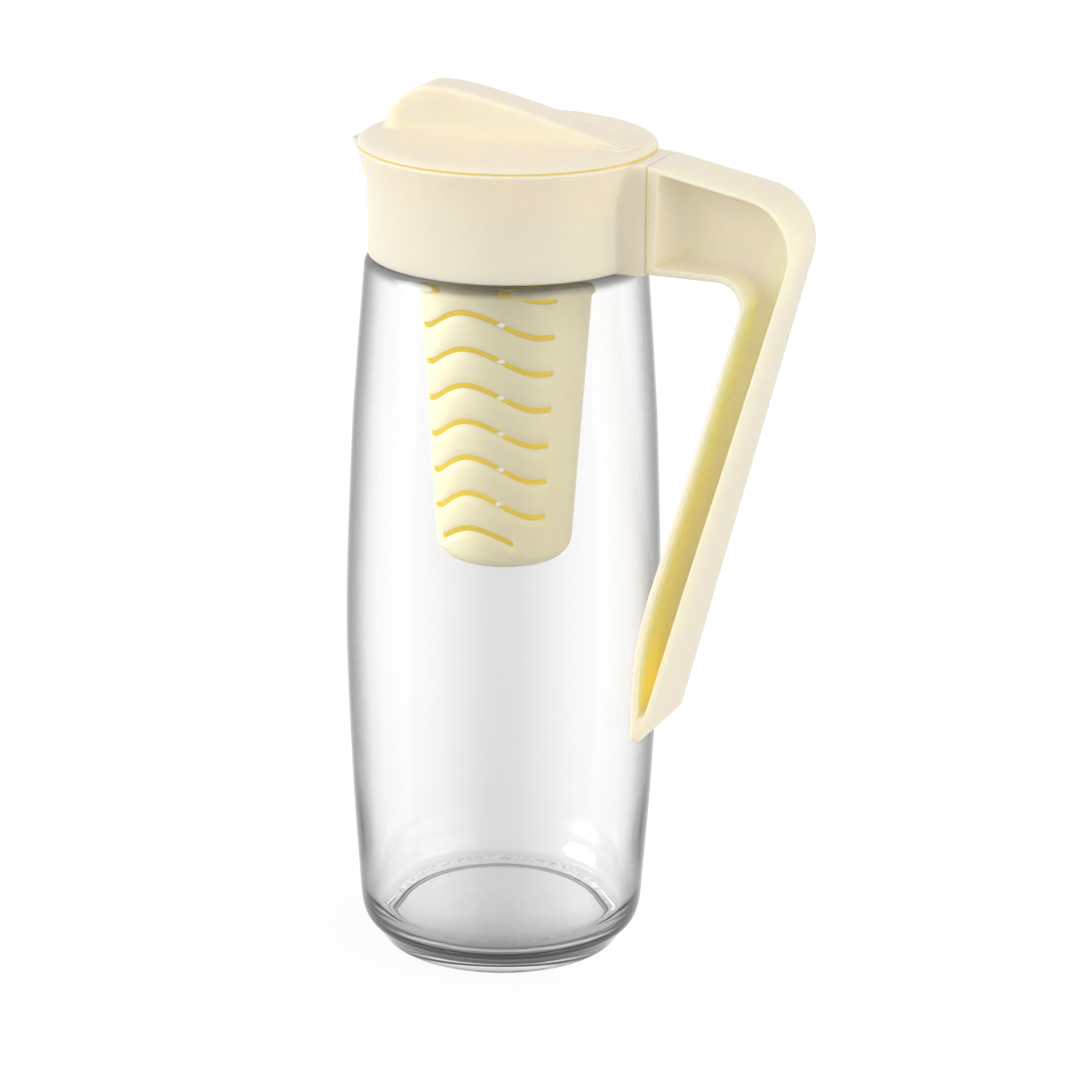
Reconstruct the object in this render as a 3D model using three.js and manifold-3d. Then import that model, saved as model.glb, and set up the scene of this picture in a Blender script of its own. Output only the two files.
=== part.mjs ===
// A glass water jug with a screwed plastic collar, a side handle, a turning lid and a hanging infuser cup.
// Lengths are millimetres and +Z is up. Pieces are drawn round the jug's axis, with the handle
// along +X and the spout along -X. The origin is on the table, midway between spout tip and handle.
import * as THREE from "three";
import { mergeVertices } from "three/addons/utils/BufferGeometryUtils.js";
import Module from "manifold-3d";

const wasm = await Module();
wasm.setup();

// Driving dimensions
const bellyRadius = 52.4;
const baseRadius = 47.9;
const neckRadius = 40;
const shoulderHeight = 237.2;
const neckHeight = 20.8;
const glassWall = 3;
const neckWall = 2.8;
const collarRise = 15.4;
const collarWall = 2;
const spoutOut = 7.1;
const handleReach = 101.4;
const handleWidth = 25.7;
const tipHeight = 82.5;
const lidInset = 0.8;
const finHeight = 15.8;
const finWidth = 15.4;
const cupDepth = 135.4;
const cupRadius = 22;
const cupWall = 1.6;

// Clearances and shared sizes
const seatGap = 0.3;
const runGap = 0.5;
const overrun = 2;
const circle = 2 * Math.PI;
const halfTurn = Math.PI;
const quarterTurn = Math.PI / 2;
const fineSteps = 56;
const plainSteps = 40;
const boltSteps = 20;

// Glass jug: base shares run from the foot to the base radius, body shares from the base to the
// shoulder in height and, in radius, from the nearer end to the belly
const baseHeight = 18;
const footInset = 8.1;
const baseShares = [[0.14, 0.22], [0.3, 0.49], [0.46, 0.78], [0.68, 0.93], [1, 1]];
const bellyShare = 0.44;
const bodyShares = [[0.19, 0.58], [bellyShare, 1], [0.71, 0.715], [0.85, 0.415], [1, 0]];
const bodySteps = 8;
const footWidth = 3.2;
const puntDepth = 1.6;
const puntRun = 5.6;
const floorHeight = 8.3;
const floorInset = 11.1;
const floorDip = 1.4;
const cornerHeight = 24;
const cornerDrawIn = 1.1;
const shoulderStep = 1.2;
const shoulderRise = 3.6;
const ovalSteps = 4;
const facetTolerance = 1e-4;
const ledgeRise = 1.2;
const rimRound = 0.9;

// Screw thread shared by the neck and the collar: two starts, turned by hand to take the collar off
const threadLead = 8;
const threadStarts = 2;
const threadDrop = 12;
const threadDepth = 1.9;
const threadRoot = 2;
const threadCrest = 1;
const threadBite = 0.4;
const threadFadeSteps = 2;
const threadFadeShare = 0.4;
const neckThreadTurnShare = 0.47;
const skirtThreadTurnShare = 0.42;
const threadSteps = 18;

// Gasket between the glass rim and the collar's web
const gasketHeight = 1.3;
const gasketWidth = 4.4;

// Collar: skirt, web, funnel, spout and the block that carries the handle
const skirtWall = 2.4;
const flareHeight = 18.4;
const flareOut = 4.1;
const flareSteps = 6;
const rimLip = 0.5;
const webStep = 0.2;
const webThickness = 4.4;
const funnelRise = 0.8;
const skirtChamfer = 0.5;
const spoutHeight = 30.4;
const spoutDip = 3.4;
const spoutHalfAngle = 28.5 * Math.PI / 180;
const spoutGrowthPower = 3;
const dipGrowthPower = 8;
const blockOut = 7.6;

// Handle: an I-shaped section that hangs from the block and tapers to a tip beside the glass
const seamGap = 0.4;
const handleTopSlope = 11 * Math.PI / 180;
const handleCorner = 18;
const bracketRise = 0.7;
const innerCorner = 8.2;
const gripThickness = 11.5;
const kneeRise = 32.8;
const kneeRun = 17;
const kneeBulgeShare = 0.08;
const tipThickness = 4.06;
const tipRoundShare = 0.54;
const tipGap = 0.54;
const flareShare = 0.0813;
const cornerSteps = 8;
const tipSteps = 5;
const outerLip = 1.5;
const innerLip = 2.4;
const frontLip = 2.9;
const topLip = 3;
const webHalf = 1.6;
const pocketTipRise = 7.5;

// Tongue and screws that join the handle to the collar's block
const tongueWidth = 13;
const tongueHeight = 17;
const tongueRise = 10.8;
const tongueLength = 5.6;
const screwSpacing = 9.4;
const screwShank = 3.2;
const screwHead = 6;
const screwHeadHeight = 2;
const screwSlot = 1;
const screwSlotDepth = 0.9;
const screwEmbed = 8.4;

// Lid: a disc with a grip fin, and a plug with a pouring window, a strainer and the cup's socket
const lidThickness = 2;
const lidEdgeRun = 4;
const lidEdgeRise = 1.8;
const lidCrown = 0.8;
const finFrontInset = 6;
const finPeak = 24.8;
const finEndInset = 4.2;
const finEndRise = 0.5;
const finTopShares = [[0, 0], [0.13, 0.035], [0.36, 0.225], [0.58, 0.46], [0.81, 0.74], [1, 1]];
const finTopSteps = 8;
const finEndRound = 13;
const finNosePower = 1.6;
const finNoseSteps = 9;
const finWall = 2;
const finSink = 1;
const plugGap = 0.7;
const plugWall = 2.2;
const plugDrop = 2;
const plateThickness = 2;
const windowSill = 0.6;
const windowLintel = 1.1;
const windowAngle = 62 * Math.PI / 180;
const strainerBars = 7;
const barShare = 0.45;
const sealHeight = 1.9;
const sealWidth = 1.5;
const sealSoftShare = 0.25;
const socketWall = 1.8;
const socketHeight = 11.9;
const lugHeight = 2.4;
const lugWidth = 8;
const lugRise = 4.5;
const lugCount = 3;

// Infuser cup: tapered, with two panels of wavy slots on opposite sides
const cupTopGap = 0.6;
const cupSideGap = 3.4;
const cupCorner = 7;
const cupCornerSteps = 5;
const cupSteps = 32;
const facetsPerSlotStep = 2;
const cupTwist = 40 * Math.PI / 180;
const panelCount = 2;
const panelAngle = 85 * Math.PI / 180;
const slotRows = 8;
const slotTopDrop = 35.15;
const slotFloorRise = 14.2;
const slotHeight = 2;
const slotFall = 8.3;
const shortSlotFall = 6.6;
const slotFallAngle = 55.5 * Math.PI / 180;
const slotBackFallAngle = 48 * Math.PI / 180;
const slotHalfAngle = 63 * Math.PI / 180;
const shortSlotHalfAngle = 36 * Math.PI / 180;

// Sizes that follow, from the glass up and outwards
const rimHeight = shoulderHeight + neckHeight;
const wallTop = shoulderHeight - shoulderRise;
const footRadius = baseRadius - footInset;
const floorRadius = baseRadius - floorInset;
const neckBore = neckRadius - neckWall;
const threadBottom = rimHeight - threadDrop;
const skirtBore = neckRadius + threadDepth + runGap + seatGap;
const collarBottom = shoulderHeight + seatGap;
const collarTop = rimHeight + collarRise;
const collarRadius = skirtBore + skirtWall;
const shoulderRadius = collarRadius + shoulderStep;
const rimRadius = collarRadius + flareOut;
const flareStart = collarTop - flareHeight;
const spoutStart = collarTop - spoutHeight;
const spoutReach = rimRadius + spoutOut;
const webBore = neckBore + webStep;
const gasketBottom = rimHeight + seatGap;
const webBottom = gasketBottom + gasketHeight + seatGap;
const webTop = webBottom + webThickness;
const blockFace = collarRadius + blockOut;
const handleTop = collarTop;
const bracketBottom = collarBottom + bracketRise;
const kneeHeight = tipHeight + kneeRise;
const tipRound = tipThickness * tipRoundShare;
const tongueMiddle = bracketBottom + tongueRise;
const lidRadius = rimRadius - lidInset;
const lidBottom = collarTop + seatGap;
const lidTop = lidBottom + lidThickness;
const finTop = lidTop + finHeight;
const finFront = lidRadius - finFrontInset;
const finEnd = lidRadius - finEndInset;
const finEndHeight = lidTop + finEndRise;
const plugRadius = webBore - plugGap;
const plugBottom = rimHeight - plugDrop;
const plugTop = lidBottom - seatGap;
const plateBottom = plugTop - plateThickness;
const windowBottom = webTop + windowSill;
const windowTop = plateBottom - windowLintel;
const sealMiddle = webBottom + webThickness / 2;
const sealOuter = webBore - seatGap;
const sealInner = sealOuter - sealWidth;
const socketBottom = plateBottom - socketHeight;
const lugMiddle = socketBottom + lugRise;
const cupTop = plateBottom - cupTopGap;
const cupBottom = cupTop - cupDepth;
const cupTopRadius = plugRadius - plugWall - cupSideGap;
const socketRadius = cupOuterRadius(socketBottom) - cupWall - seatGap;
const slotTopCrest = cupTop - slotTopDrop;
const slotPitch = (slotTopCrest - cupBottom - slotFloorRise) / (slotRows - 1);
const originShift = (handleReach - spoutReach) / 2;

// Finishes
function finish(color, roughness, metalness = 0) {
  return new THREE.MeshStandardMaterial({ color, roughness, metalness });
}

const creamPlastic = finish(0xf0e4cc, 0.42);
const cupPlastic = finish(0xf1ecd4, 0.45);
const silicone = finish(0xe9e4d8, 0.6);
const steel = finish(0xb9bcc0, 0.3, 1);
const clearGlass = finish(0xf4f7f7, 0.03);
clearGlass.transparent = true;
clearGlass.opacity = 0.3;

// A geometry with only positions, shared vertices merged, faces out
function closed(geometry) {
  const bare = geometry.clone();
  bare.deleteAttribute("normal");
  bare.deleteAttribute("uv");
  const merged = mergeVertices(bare, facetTolerance);
  const p = merged.attributes.position;
  const order = merged.index.array;
  const a = new THREE.Vector3();
  const b = new THREE.Vector3();
  const c = new THREE.Vector3();
  let volume = 0;
  for (let i = 0; i < order.length; i += 3) {
    a.fromBufferAttribute(p, order[i]);
    b.fromBufferAttribute(p, order[i + 1]);
    c.fromBufferAttribute(p, order[i + 2]);
    volume += a.dot(b.cross(c));
  }
  if (volume < 0) order.reverse();
  return merged;
}

// A closed geometry as a solid that can be joined and cut
function solid(geometry) {
  const g = closed(geometry);
  const vertProperties = new Float32Array(g.attributes.position.array);
  const triVerts = new Uint32Array(g.index.array);
  return new wasm.Manifold(new wasm.Mesh({ numProp: 3, vertProperties, triVerts }));
}

// A solid as a named mesh
function piece(name, body, material) {
  const mesh = body.getMesh();
  const geometry = new THREE.BufferGeometry();
  geometry.setAttribute("position", new THREE.BufferAttribute(mesh.vertProperties, 3));
  geometry.setIndex(new THREE.BufferAttribute(mesh.triVerts, 1));
  geometry.computeVertexNormals();
  const made = new THREE.Mesh(geometry, material);
  made.name = name;
  return made;
}

// A profile of [radius, height] points turned round the Z axis
function turned(profile, steps) {
  const points = profile.map(([r, z]) => new THREE.Vector2(r, z));
  return new THREE.LatheGeometry(points, steps).rotateX(quarterTurn);
}

// A ring section: the profile closes on itself
function ring(profile, steps) {
  return turned([...profile, profile[0]], steps);
}

// A solid disc or rod along Z
function rod(radius, bottom, top, steps) {
  return turned([[0, bottom], [radius, bottom], [radius, top], [0, top]], steps);
}

// A box from its two corners
function box([x0, y0, z0], [x1, y1, z1]) {
  const g = new THREE.BoxGeometry(x1 - x0, y1 - y0, z1 - z0);
  return g.translate((x0 + x1) / 2, (y0 + y1) / 2, (z0 + z1) / 2);
}

// An outline of [x, z] points, given a width along Y from one side to the other
function slab(outline, fromY, toY) {
  const shape = new THREE.Shape(outline.map(([x, z]) => new THREE.Vector2(x, z)));
  const g = new THREE.ExtrudeGeometry(shape, { depth: toY - fromY, bevelEnabled: false });
  return g.rotateX(quarterTurn).translate(0, toY, 0);
}

// A bar swept through rings of equal point count, closed at both ends
function loft(rings) {
  const count = rings[0].length;
  const flat = rings.flat(2);
  const index = [];
  for (let s = 0; s + 1 < rings.length; s++) {
    for (let k = 0; k < count; k++) {
      const a = s * count + k;
      const b = s * count + (k + 1) % count;
      index.push(a, b, b + count, a, b + count, a + count);
    }
  }
  const last = (rings.length - 1) * count;
  for (let k = 1; k + 1 < count; k++) {
    index.push(0, k + 1, k, last, last + k, last + k + 1);
  }
  const g = new THREE.BufferGeometry();
  g.setAttribute("position", new THREE.Float32BufferAttribute(flat, 3));
  return g.setIndex(index);
}

// A point at an angle, a radius and a height
function polar(angle, radius, z) {
  return [radius * Math.cos(angle), radius * Math.sin(angle), z];
}

// Points of an arc in the XZ plane
function arc([x, z], radius, from, to, steps) {
  return Array.from({ length: steps + 1 }, (_, i) => {
    const angle = from + (to - from) * i / steps;
    return [x + radius * Math.cos(angle), z + radius * Math.sin(angle)];
  });
}

// A smooth run through points, ends included
function smooth(points, steps) {
  const curve = new THREE.SplineCurve(points.map(([r, z]) => new THREE.Vector2(r, z)));
  return curve.getPoints(steps).map((v) => [v.x, v.y]);
}

// A block round part of the axis: a sector of a ring
function sector(inner, outer, bottom, top, middle, width, steps) {
  const rings = [];
  for (let i = 0; i <= steps; i++) {
    const angle = middle - width / 2 + width * i / steps;
    rings.push([
      polar(angle, inner, bottom),
      polar(angle, outer, bottom),
      polar(angle, outer, top),
      polar(angle, inner, top),
    ]);
  }
  return solid(loft(rings));
}

// One thread ridge, from a root radius to a crest radius on either side of the wall
function ridge(rootRadius, crestRadius, bottom, startAngle, turnShare) {
  const rings = [];
  for (let i = 0; i <= threadSteps; i++) {
    const turn = turnShare * i / threadSteps;
    const angle = startAngle + circle * turn;
    const z = bottom + threadLead * turn;
    const fade = Math.min(1, Math.min(i, threadSteps - i) / threadFadeSteps);
    const crest = rootRadius + (crestRadius - rootRadius) * Math.max(fade, threadFadeShare);
    rings.push([
      polar(angle, rootRadius, z - threadRoot / 2),
      polar(angle, crest, z - threadCrest / 2),
      polar(angle, crest, z + threadCrest / 2),
      polar(angle, rootRadius, z + threadRoot / 2),
    ]);
  }
  return solid(loft(rings));
}

// Every start of the thread, added to a wall
function withThread(wall, rootRadius, crestRadius, bottom, startAngle, turnShare) {
  let made = wall;
  for (let start = 0; start < threadStarts; start++) {
    const angle = startAngle + circle * start / threadStarts;
    made = made.add(ridge(rootRadius, crestRadius, bottom, angle, turnShare));
  }
  return made;
}

// The jug's outer wall from above the foot to the shoulder, as [radius, height]
function glassWallOutline() {
  const base = baseShares.map(([h, r]) => [footRadius + footInset * r, baseHeight * h]);
  const rise = wallTop - baseHeight;
  const body = bodyShares.map(([h, r]) => {
    const end = h < bellyShare ? baseRadius : shoulderRadius;
    return [end + (bellyRadius - end) * r, baseHeight + rise * h];
  });
  const wall = smooth([base[base.length - 1], ...body], bodySteps);
  return [...base.slice(0, -1), ...wall];
}

// A quarter of an oval that starts upright at one radius and ends level at a smaller one
function quarterOval(startRadius, endRadius, startHeight, rise) {
  const across = startRadius - endRadius;
  return Array.from({ length: ovalSteps + 1 }, (_, i) => {
    const angle = quarterTurn * i / ovalSteps;
    return [endRadius + across * Math.cos(angle), startHeight + rise * Math.sin(angle)];
  });
}

function glassJug() {
  const outer = glassWallOutline();
  const shoulder = outer.pop();
  const insideTop = wallTop - glassWall;
  const inner = outer
    .filter(([, z]) => z > cornerHeight && z < insideTop)
    .map(([r, z]) => [r - glassWall, z])
    .reverse();
  const cornerRadius = inner[inner.length - 1][0] - cornerDrawIn;
  const profile = [
    [0, puntDepth],
    [footRadius - footWidth - puntRun, puntDepth],
    [footRadius - footWidth, 0],
    [footRadius, 0],
    ...outer,
    ...quarterOval(shoulder[0], skirtBore, wallTop, shoulderRise),
    [neckRadius, shoulderHeight + ledgeRise],
    [neckRadius, rimHeight - rimRound],
    [neckRadius - rimRound, rimHeight],
    [neckBore + rimRound, rimHeight],
    [neckBore, rimHeight - rimRound],
    ...quarterOval(shoulder[0] - glassWall, neckBore, insideTop, glassWall + shoulderRise).reverse(),
    ...inner,
    ...quarterOval(cornerRadius, floorRadius, cornerHeight, floorHeight - cornerHeight),
    [0, floorHeight - floorDip],
  ];
  const body = solid(turned(profile, fineSteps));
  const root = neckRadius - threadBite;
  const crest = neckRadius + threadDepth;
  return withThread(body, root, crest, threadBottom, 0, neckThreadTurnShare);
}

function neckGasket() {
  const top = gasketBottom + gasketHeight;
  const outer = webBore + gasketWidth;
  const section = [[webBore, gasketBottom], [outer, gasketBottom], [outer, top], [webBore, top]];
  return solid(ring(section, fineSteps));
}

// The collar's outer radius at a height, without the spout
function collarOuter(z) {
  const rise = Math.max(0, (z - flareStart) / (collarTop - flareStart));
  return collarRadius + flareOut * rise * rise;
}

// How far round from the spout an angle lies, as a radius factor of a straight sided lip
function spoutLip(angle) {
  const away = Math.abs(Math.atan2(Math.sin(angle - halfTurn), Math.cos(angle - halfTurn)));
  if (away >= spoutHalfAngle) return 0;
  const side = Math.acos(rimRadius / spoutReach) - away;
  const reach = rimRadius / Math.cos(Math.max(0, side));
  return (reach - rimRadius) / (spoutReach - rimRadius);
}

// Pulls the top of the wall out to the spout's tip and dips its rim
function pullSpout(geometry) {
  const p = geometry.attributes.position;
  for (let i = 0; i < p.count; i++) {
    const x = p.getX(i);
    const y = p.getY(i);
    const z = p.getZ(i);
    const radius = Math.hypot(x, y);
    if (z <= spoutStart || radius <= skirtBore) continue;
    const rise = (z - spoutStart) / (collarTop - spoutStart);
    const lip = spoutLip(Math.atan2(y, x));
    const pull = (spoutReach - rimRadius) * lip * rise ** spoutGrowthPower;
    const factor = (radius + pull) / radius;
    p.setXYZ(i, x * factor, y * factor, z - spoutDip * lip * rise ** dipGrowthPower);
  }
  return geometry;
}

function collarProfile() {
  const rimBase = collarTop - rimLip;
  const flare = Array.from({ length: flareSteps + 1 }, (_, i) =>
    flareStart + (rimBase - flareStart) * i / flareSteps);
  const funnelTop = webTop + funnelRise;
  const inside = flare.filter((z) => z > funnelTop + rimLip).reverse();
  return [
    [skirtBore, collarBottom],
    [collarRadius - skirtChamfer, collarBottom],
    [collarRadius, collarBottom + skirtChamfer],
    [collarRadius, spoutStart],
    ...flare.map((z) => [collarOuter(z), z]),
    [rimRadius, rimBase + rimLip / 2],
    [rimRadius - rimLip, collarTop],
    [rimRadius - collarWall, collarTop],
    ...inside.map((z) => [collarOuter(z) - collarWall, z]),
    [collarOuter(funnelTop) - collarWall, funnelTop],
    [webBore, webTop],
    [webBore, webBottom],
    [skirtBore, webBottom],
  ];
}

// The space inside the middle of the collar's wall, kept free when the block is joined on
function collarCore() {
  const heights = [collarBottom - overrun, flareStart];
  for (let i = 1; i <= flareSteps; i++) {
    heights.push(flareStart + (collarTop - flareStart) * i / flareSteps);
  }
  heights.push(collarTop + overrun);
  const middle = heights.map((z) => [collarOuter(z) - collarWall / 2, z]);
  return solid(turned([[0, heights[0]], ...middle, [0, collarTop + overrun]], fineSteps));
}

// A rod along X, from one place to another at the handle's middle plane
function crossRod(radius, fromX, toX, z) {
  const g = rod(radius, 0, toX - fromX, boltSteps).rotateY(quarterTurn);
  return solid(g.translate(fromX, 0, z));
}

const screwHeights = [tongueMiddle + screwSpacing / 2, tongueMiddle - screwSpacing / 2];
const screwHeadFace = skirtBore + seatGap;
const screwHeadBack = screwHeadFace + screwHeadHeight;
const tongueFace = blockFace + seamGap - tongueLength;

function collar() {
  let body = solid(pullSpout(ring(collarProfile(), fineSteps)));
  const half = handleWidth / 2;
  const block = solid(box([neckRadius, -half, collarBottom], [blockFace, half, handleTop]));
  body = body.add(block.subtract(collarCore()));
  body = withThread(
    body, skirtBore + threadBite, neckRadius + runGap,
    threadBottom - threadLead / threadStarts / 2, 0, skirtThreadTurnShare,
  );
  const halfTongue = tongueWidth / 2 + seatGap;
  const lowZ = tongueMiddle - tongueHeight / 2 - seatGap;
  const highZ = tongueMiddle + tongueHeight / 2 + seatGap;
  const socketBack = tongueFace - seatGap;
  const socket = box([socketBack, -halfTongue, lowZ], [blockFace + overrun, halfTongue, highZ]);
  body = body.subtract(solid(socket));
  for (const z of screwHeights) {
    const headBore = screwHead / 2 + seatGap;
    const shankBore = screwShank / 2 + seatGap;
    body = body.subtract(crossRod(headBore, neckRadius, screwHeadBack + seatGap, z));
    body = body.subtract(crossRod(shankBore, neckRadius, socketBack + overrun, z));
  }
  return body;
}

// The upright face beside the glass, and the centre of the round outer corner
const legWallX = Math.max(bellyRadius, baseRadius) + tipGap;
const seamFaceX = blockFace + seamGap;
const cornerX = handleReach - handleCorner;
const cornerTouchX = cornerX + handleCorner * Math.sin(handleTopSlope);
const cornerTouchZ = handleTop - (cornerTouchX - seamFaceX) * Math.tan(handleTopSlope);
const cornerZ = cornerTouchZ - handleCorner * Math.cos(handleTopSlope);

// The lean of the outer face, which leaves the corner smoothly and ends at the tip
const tipFaceX = legWallX + tipThickness;
const cornerAway = Math.hypot(cornerX - tipFaceX, cornerZ - tipHeight);
const handleLean = Math.atan2(cornerX - tipFaceX, cornerZ - tipHeight)
  + Math.asin(handleCorner / cornerAway);

function outerFaceX(z) {
  return tipFaceX + (z - tipHeight) * Math.tan(handleLean);
}

// The lean of the inner face, which runs from the bracket down to the knee beside the glass
const bracketInnerX = outerFaceX(bracketBottom) - gripThickness;
const innerLean = Math.atan2(bracketInnerX - legWallX, bracketBottom - kneeHeight);

function innerFaceX(z) {
  return legWallX + (z - kneeHeight) * Math.tan(innerLean);
}

// The handle's side outline, or that of its pocket when it is drawn in by the lips
function handleOutline(drawIn) {
  const seamX = seamFaceX + (drawIn ? frontLip : 0);
  const outIn = drawIn ? outerLip : 0;
  const inIn = drawIn ? innerLip : 0;
  const topZ = handleTop - (drawIn ? topLip + frontLip * Math.tan(handleTopSlope) : 0);
  const outer = arc(
    [cornerX, cornerZ], handleCorner - outIn, quarterTurn - handleTopSlope, -handleLean, cornerSteps,
  );
  const reach = innerCorner * Math.tan((quarterTurn + innerLean) / 2);
  const bendCentre = [bracketInnerX - reach, bracketBottom - innerCorner];
  const bend = arc(bendCentre, innerCorner + inIn, -innerLean, quarterTurn, cornerSteps);
  const lowX = legWallX + inIn;
  const slopeX = innerFaceX(kneeHeight + kneeRun) + inIn / Math.cos(innerLean);
  const knee = [
    [lowX, kneeHeight - kneeRun],
    [lowX + kneeRun * kneeBulgeShare, kneeHeight],
    [slopeX, kneeHeight + kneeRun],
  ];
  const underZ = bracketBottom + inIn;
  return [[seamX, topZ], ...outer, ...tipOutline(drawIn, lowX), ...knee, ...bend, [seamX, underZ]];
}

// The rounded lower end, or the pocket's plain point
function tipOutline(drawIn, lowX) {
  if (drawIn) {
    const z = tipHeight + pocketTipRise;
    return [[outerFaceX(z) - outerLip, z], [lowX, z]];
  }
  const z = tipHeight + tipRound;
  const right = outerFaceX(z) - tipRound / Math.cos(handleLean);
  const left = lowX + tipRound;
  return [
    ...arc([right, z], tipRound, -handleLean, -quarterTurn, tipSteps),
    ...arc([left, z], tipRound, -quarterTurn, -halfTurn, tipSteps),
  ];
}

// Half the handle's width at a height: it grows towards the tip
function handleHalf(z) {
  return handleWidth / 2 + Math.max(0, bracketBottom - z) * flareShare / 2;
}

function flareWidth(geometry) {
  const p = geometry.attributes.position;
  for (let i = 0; i < p.count; i++) {
    p.setY(i, p.getY(i) * handleHalf(p.getZ(i)) * 2 / handleWidth);
  }
  return geometry;
}

function handle() {
  const half = handleWidth / 2;
  let body = solid(flareWidth(slab(handleOutline(false), -half, half)));
  const widest = handleHalf(tipHeight) + overrun;
  body = body.subtract(solid(slab(handleOutline(true), -widest, -webHalf)));
  body = body.subtract(solid(slab(handleOutline(true), webHalf, widest)));
  const tongue = solid(box(
    [tongueFace, -tongueWidth / 2, tongueMiddle - tongueHeight / 2],
    [blockFace + seamGap + seatGap, tongueWidth / 2, tongueMiddle + tongueHeight / 2],
  ));
  body = body.add(tongue);
  for (const z of screwHeights) {
    const end = screwHeadBack + screwEmbed + seatGap;
    body = body.subtract(crossRod(screwShank / 2 + seatGap, tongueFace - overrun, end, z));
  }
  return body;
}

function handleScrew(z) {
  const head = crossRod(screwHead / 2, screwHeadFace, screwHeadBack, z);
  const shankFrom = screwHeadBack - screwSlotDepth / 2;
  const shank = crossRod(screwShank / 2, shankFrom, screwHeadBack + screwEmbed, z);
  const halfSlot = screwSlot / 2;
  const slot = box(
    [screwHeadFace - overrun, -screwHead, z - halfSlot],
    [screwHeadFace + screwSlotDepth, screwHead, z + halfSlot],
  );
  return head.add(shank).subtract(solid(slot));
}

// The fin's height along X: a steep nose towards the spout, a round peak, then a gentle slope
function finOutline(inset) {
  const floor = inset ? lidBottom - overrun : lidTop - finSink;
  const front = -finFront + inset;
  const top = finTop - inset;
  const low = lidTop - finSink;
  const nose = Array.from({ length: finNoseSteps }, (_, i) => {
    const share = 1 - (i / finNoseSteps) ** 2;
    const up = (1 - share ** finNosePower) ** (1 / finNosePower);
    return [-finPeak + (front + finPeak) * share, low + (top - low) * up];
  });
  const run = finPeak + finEnd - inset;
  const fall = top - (inset ? low : finEndHeight);
  const slope = finTopShares.map(([along, down]) => [-finPeak + run * along, top - fall * down]);
  return [[front, floor], ...nose, ...smooth(slope, finTopSteps), [finEnd - inset, floor]];
}

// The fin's plan: a round nose, straight sides and a gently rounded end
function finPlan(half, front, end) {
  const turnHalf = Math.asin(half / finEndRound);
  const nose = arc([-front + half, 0], half, quarterTurn, 3 * quarterTurn, cornerSteps);
  const tail = arc([end - finEndRound, 0], finEndRound, -turnHalf, turnHalf, tipSteps);
  return [...nose, ...tail];
}

// The fin, or its hollow when it is drawn in by the wall
function fin(inset) {
  const half = finWidth / 2 - inset;
  const side = solid(slab(finOutline(inset), -finWidth, finWidth));
  const outline = finPlan(half, finFront - inset, finEnd - inset);
  const shape = new THREE.Shape(outline.map(([x, y]) => new THREE.Vector2(x, y)));
  const height = finTop - lidBottom + 2 * overrun;
  const plan = new THREE.ExtrudeGeometry(shape, { depth: height, bevelEnabled: false });
  return side.intersect(solid(plan.translate(0, 0, lidBottom - overrun)));
}

function lidCap() {
  const edgeBottom = lidTop - lidEdgeRise;
  const edge = quarterOval(lidRadius, lidRadius - lidEdgeRun, edgeBottom, lidEdgeRise);
  const profile = [[0, lidBottom], [lidRadius, lidBottom], ...edge, [0, lidTop + lidCrown]];
  return solid(turned(profile, fineSteps)).add(fin(0)).subtract(fin(finWall));
}

function lidPlug() {
  const inner = plugRadius - plugWall;
  const grooveTop = sealMiddle + sealHeight / 2 + seatGap;
  const grooveBottom = sealMiddle - sealHeight / 2 - seatGap;
  const grooveRadius = sealInner - seatGap;
  const profile = [
    [0, plateBottom],
    [inner, plateBottom],
    [inner, plugBottom],
    [plugRadius, plugBottom],
    [plugRadius, grooveBottom],
    [grooveRadius, grooveBottom],
    [grooveRadius, grooveTop],
    [plugRadius, grooveTop],
    [plugRadius, plugTop],
    [0, plugTop],
  ];
  let body = solid(turned(profile, fineSteps));
  body = body.subtract(window(inner, halfTurn, windowAngle));
  const step = windowAngle / strainerBars;
  for (let i = 0; i < strainerBars; i++) {
    const middle = (i - (strainerBars - 1) / 2) * step;
    body = body.subtract(window(inner, middle, step * (1 - barShare)));
  }
  const socket = [
    [socketRadius - socketWall, socketBottom],
    [socketRadius, socketBottom],
    [socketRadius, plateBottom + seatGap],
    [socketRadius - socketWall, plateBottom + seatGap],
  ];
  body = body.add(solid(ring(socket, plainSteps)));
  return addLugs(body);
}

// An opening through the plug's skirt
function window(inner, middle, width) {
  const from = inner - overrun / 2;
  const to = plugRadius + overrun;
  return sector(from, to, windowBottom, windowTop, middle, width, tipSteps);
}

function lugAngle(i) {
  return circle * i / lugCount + quarterTurn;
}

// Lugs on the socket that reach through the cup's slots
function addLugs(body) {
  const low = lugMiddle - lugHeight / 2;
  const high = low + lugHeight;
  const inner = socketRadius - seatGap;
  const outer = cupOuterRadius(lugMiddle) - seatGap;
  const width = lugWidth / socketRadius;
  let made = body;
  for (let i = 0; i < lugCount; i++) {
    made = made.add(sector(inner, outer, low, high, lugAngle(i), width, tipSteps));
  }
  return made;
}

function lidSeal() {
  const half = sealHeight / 2;
  const soft = sealWidth * sealSoftShare;
  const section = [
    [sealInner, sealMiddle - half],
    [sealOuter - soft, sealMiddle - half],
    [sealOuter, sealMiddle],
    [sealOuter - soft, sealMiddle + half],
    [sealInner, sealMiddle + half],
  ];
  return solid(ring(section, fineSteps));
}

// The cup's outer radius at a height
function cupOuterRadius(z) {
  return cupRadius + (cupTopRadius - cupRadius) * (z - cupBottom) / cupDepth;
}

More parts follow.
